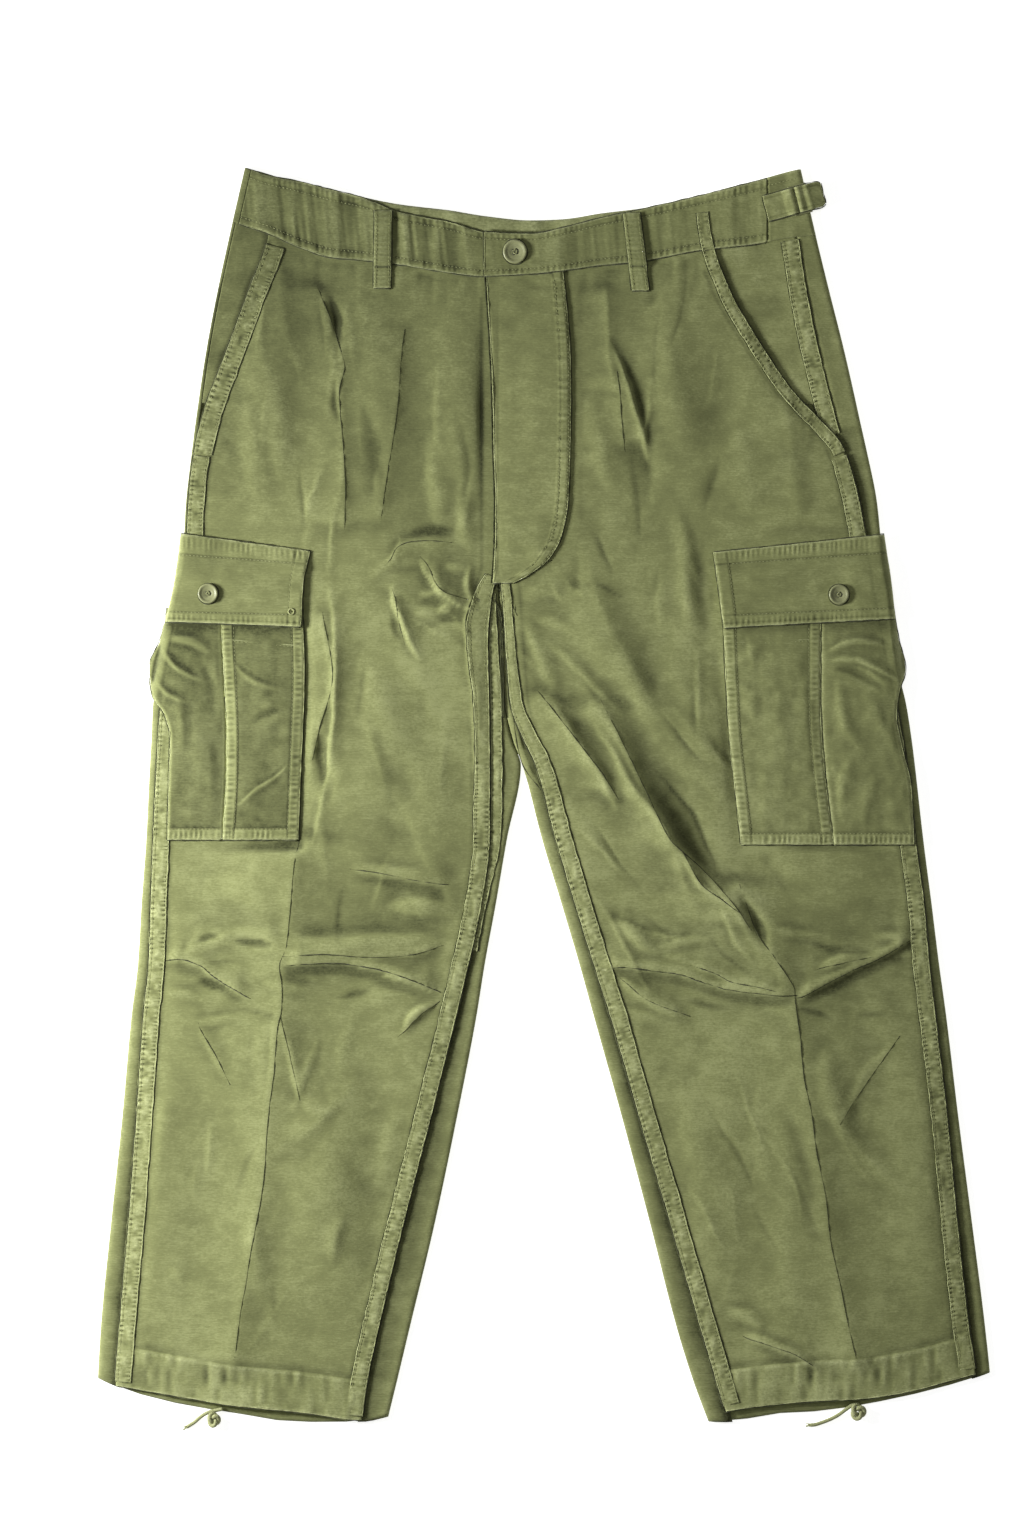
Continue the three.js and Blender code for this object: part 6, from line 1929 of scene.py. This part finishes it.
def button_piece(name, centre, radius, node):
    """Radius and height follow the profile's rows, and the angle goes round."""
    profile = table("r z", [(0.02, 0), (0.9, 0), (1.0, 0.35), (1.0, 0.7), (0.96, 0.93), (0.88, 1.0),
                            (0.8, 0.95), (0.7, 0.72), (0.6, 0.62), (0.4, 0.58), (0.36, 0.5), (0.02, 0.5)])
    r = np.array([row["r"] for row in profile])[:, None] * radius
    z = np.array([row["z"] for row in profile])[:, None] * BUTTON_THICK
    angle = np.linspace(0, 2 * np.pi, 48, endpoint=False)[None, :]
    points = np.stack([centre[0] + r * np.cos(angle), centre[1] + r * np.sin(angle),
                       centre[2] + z + 0 * angle], -1)
    points = points.reshape(-1, 3)
    disc = mesh_piece(name, points, outward(points, closed_tube(len(profile), 48)))
    dress(disc, BUTTON_FINISH, "button", node)
    strands, holes = [], []
    top = centre[2] + 0.5 * BUTTON_THICK
    turns = np.radians(45 + 90 * np.arange(4) + 12)
    places = np.stack([centre[0] + 0.2 * radius * np.cos(turns), centre[1] + 0.2 * radius * np.sin(turns)],
                      axis=1)
    for k, place in enumerate(places):
        ring_r = np.array([0.02, 1.0, 1.0, 0.02])[:, None] * 0.115 * radius
        ring_z = np.array([0.12, 0.12, -0.2, -0.2])[:, None]
        around = np.linspace(0, 2 * np.pi, 16, endpoint=False)[None, :]
        spot = np.stack([place[0] + ring_r * np.cos(around), place[1] + ring_r * np.sin(around),
                         top + ring_z + 0 * around], axis=-1).reshape(-1, 3)
        holes.append(mesh_piece(f"{name}_hole_{k}", spot, outward(spot, closed_tube(4, 16))))
        following = places[(k + 1) % 4]
        share = np.linspace(0, 1, 8)[:, None]
        path = np.concatenate([mix(place, following, share), top + 0.15 + 0.45 * np.sin(np.pi * share)],
                              axis=1)
        strands.append(tube_piece(f"{name}_thread_{k}", path, 0.36, 6))
    dress(join(f"{name}_thread", strands), THREAD, "button")
    dress(join(f"{name}_holes", holes), PAINTED_HOLE_SHADE, "button")
    # Dark rings paint the shade in each button's dished face and the shadow round its rim.
    shadow = np.linspace(0, 2 * np.pi, 40)
    for share_r in (0.74, 1.06):
        painted_shadow_lines.append(np.stack([centre[0] + share_r * radius * np.cos(shadow),
                                      centre[1] + share_r * radius * np.sin(shadow),
                                      top + (0.1 if share_r < 1 else -1.4) + 0 * shadow], axis=1))


# Near-black discs in the buttons' holes: painted shade inside them.
PAINTED_HOLE_SHADE = moulded_finish("painted_hole_shade", (0.02, 0.021, 0.01), 0.8)
waist_top = float(band_floor(-23.8, 446) + fly_lift(-23.8)) + BAND_CLOTH + GAP
button_piece("waist_button_disc", (-23.8, 444.8, waist_top), 9.85, "waist_button")
for name, x, y in (("right", -274.7, 165.2), ("left", 241.1, 164.4)):
    top = float(flap_floor(SIDES[name], np.array(x), np.array(y))) + STRAP_CLOTH + 0.5
    button_piece(f"flap_button_{name}_disc", (x, y, top), 8.25, f"flap_button_{name}")
tack_x, tack_y = -206.6, 150.5
tack_z = float(flap_floor(SIDES["right"], np.array(tack_x), np.array(tack_y))) + STRAP_CLOTH + 0.7
tack_angle = np.linspace(0, 2 * np.pi, 24)
tack_ring = np.stack([tack_x + 2.3 * np.cos(tack_angle), tack_y + 2.3 * np.sin(tack_angle),
                      tack_z + 0 * tack_angle], 1)
dress(tube_piece("flap_corner_tack", tack_ring, 0.7, 8), THREAD, "twill")
# A dark ring inside the tack paints the shade there.
painted_shadow_lines.append(np.stack([tack_x + 0.8 * np.cos(tack_angle), tack_y + 0.8 * np.sin(tack_angle),
                              tack_z + 0 * tack_angle], axis=1))
print("buttons made")

# %% [markdown]
# Every piece has put its stitch lines, its worn edges and its painted shadow lines into
# lists. They become three light meshes here, because thousands of separate objects would
# be slow.

# %% Stitches of every seam, as one mesh
thread = stitch_rows("seam_stitches", stitches)
rolls("worn_seam_edges", worn_edges, thick=0.46, tone=1.1, seed=401)
# Thin dark tubes that paint the shadow lines along rims, seams, folds, buttons and the fork.
rolls("dark_seam_corners", painted_shadow_lines, thick=0.5, tone=-1.8, seed=405)
print("stitches:", len(thread.data.polygons) // 10, "faces:", len(thread.data.polygons))

# %% [markdown]
# The studio: a white table top, one broad soft light from the left that shows the
# folds, and a weaker even light from all round.

# %% Table and light
floor_size = 6.0
floor = mesh_piece("table_top",
                   np.array([[-1, -1, 0], [1, -1, 0], [1, 1, 0], [-1, 1, 0]]) * floor_size / 2 / MM
                   + [0, 0, -0.2], np.array([[0, 1, 2, 3]]))
white = Finish("white_table")
white.set("Base Color", (0.93, 0.93, 0.92, 1))
white.set("Roughness", 0.9)
white.set("Emission Color", (1, 1, 1, 1))
white.set("Emission Strength", 0.75)
floor.data.materials.append(white.material)


def soft_light(name, place, aim, size, power):
    data = bpy.data.lights.new(name, "AREA")
    data.shape = "DISK"
    data.size = size
    data.energy = power
    light = bpy.data.objects.new(name, data)
    light.location = place
    way = np.asarray(aim, dtype=float) - np.asarray(place, dtype=float)
    light.rotation_euler = (math.atan2(math.hypot(way[0], way[1]), -way[2]), 0,
                            math.atan2(way[0], -way[1]) + math.pi)
    bpy.context.collection.objects.link(light)
    return light


soft_light("key_light", place=(-1.5, 0.1, 0.66), aim=(0.05, -0.05, 0), size=0.4, power=48)
soft_light("top_light", place=(-0.3, 0.6, 2.6), aim=(0, 0, 0), size=1.5, power=6)
world = bpy.data.worlds.new("studio")
world.use_nodes = True
world.node_tree.nodes["Background"].inputs["Color"].default_value = (1, 1, 1, 1)
world.node_tree.nodes["Background"].inputs["Strength"].default_value = 0.19
bpy.context.scene.world = world
bpy.context.scene.view_settings.view_transform = "Standard"

# %% Sizes, and the end
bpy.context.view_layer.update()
shown = [o for o in bpy.data.objects if o.type == "MESH" and not o.hide_render]
triangles = {o.name: sum(len(face.vertices) - 2 for face in o.data.polygons) for o in shown}
print("pieces shown:", len(shown), "triangles:", sum(triangles.values()), "largest:",
      max(triangles.values()))
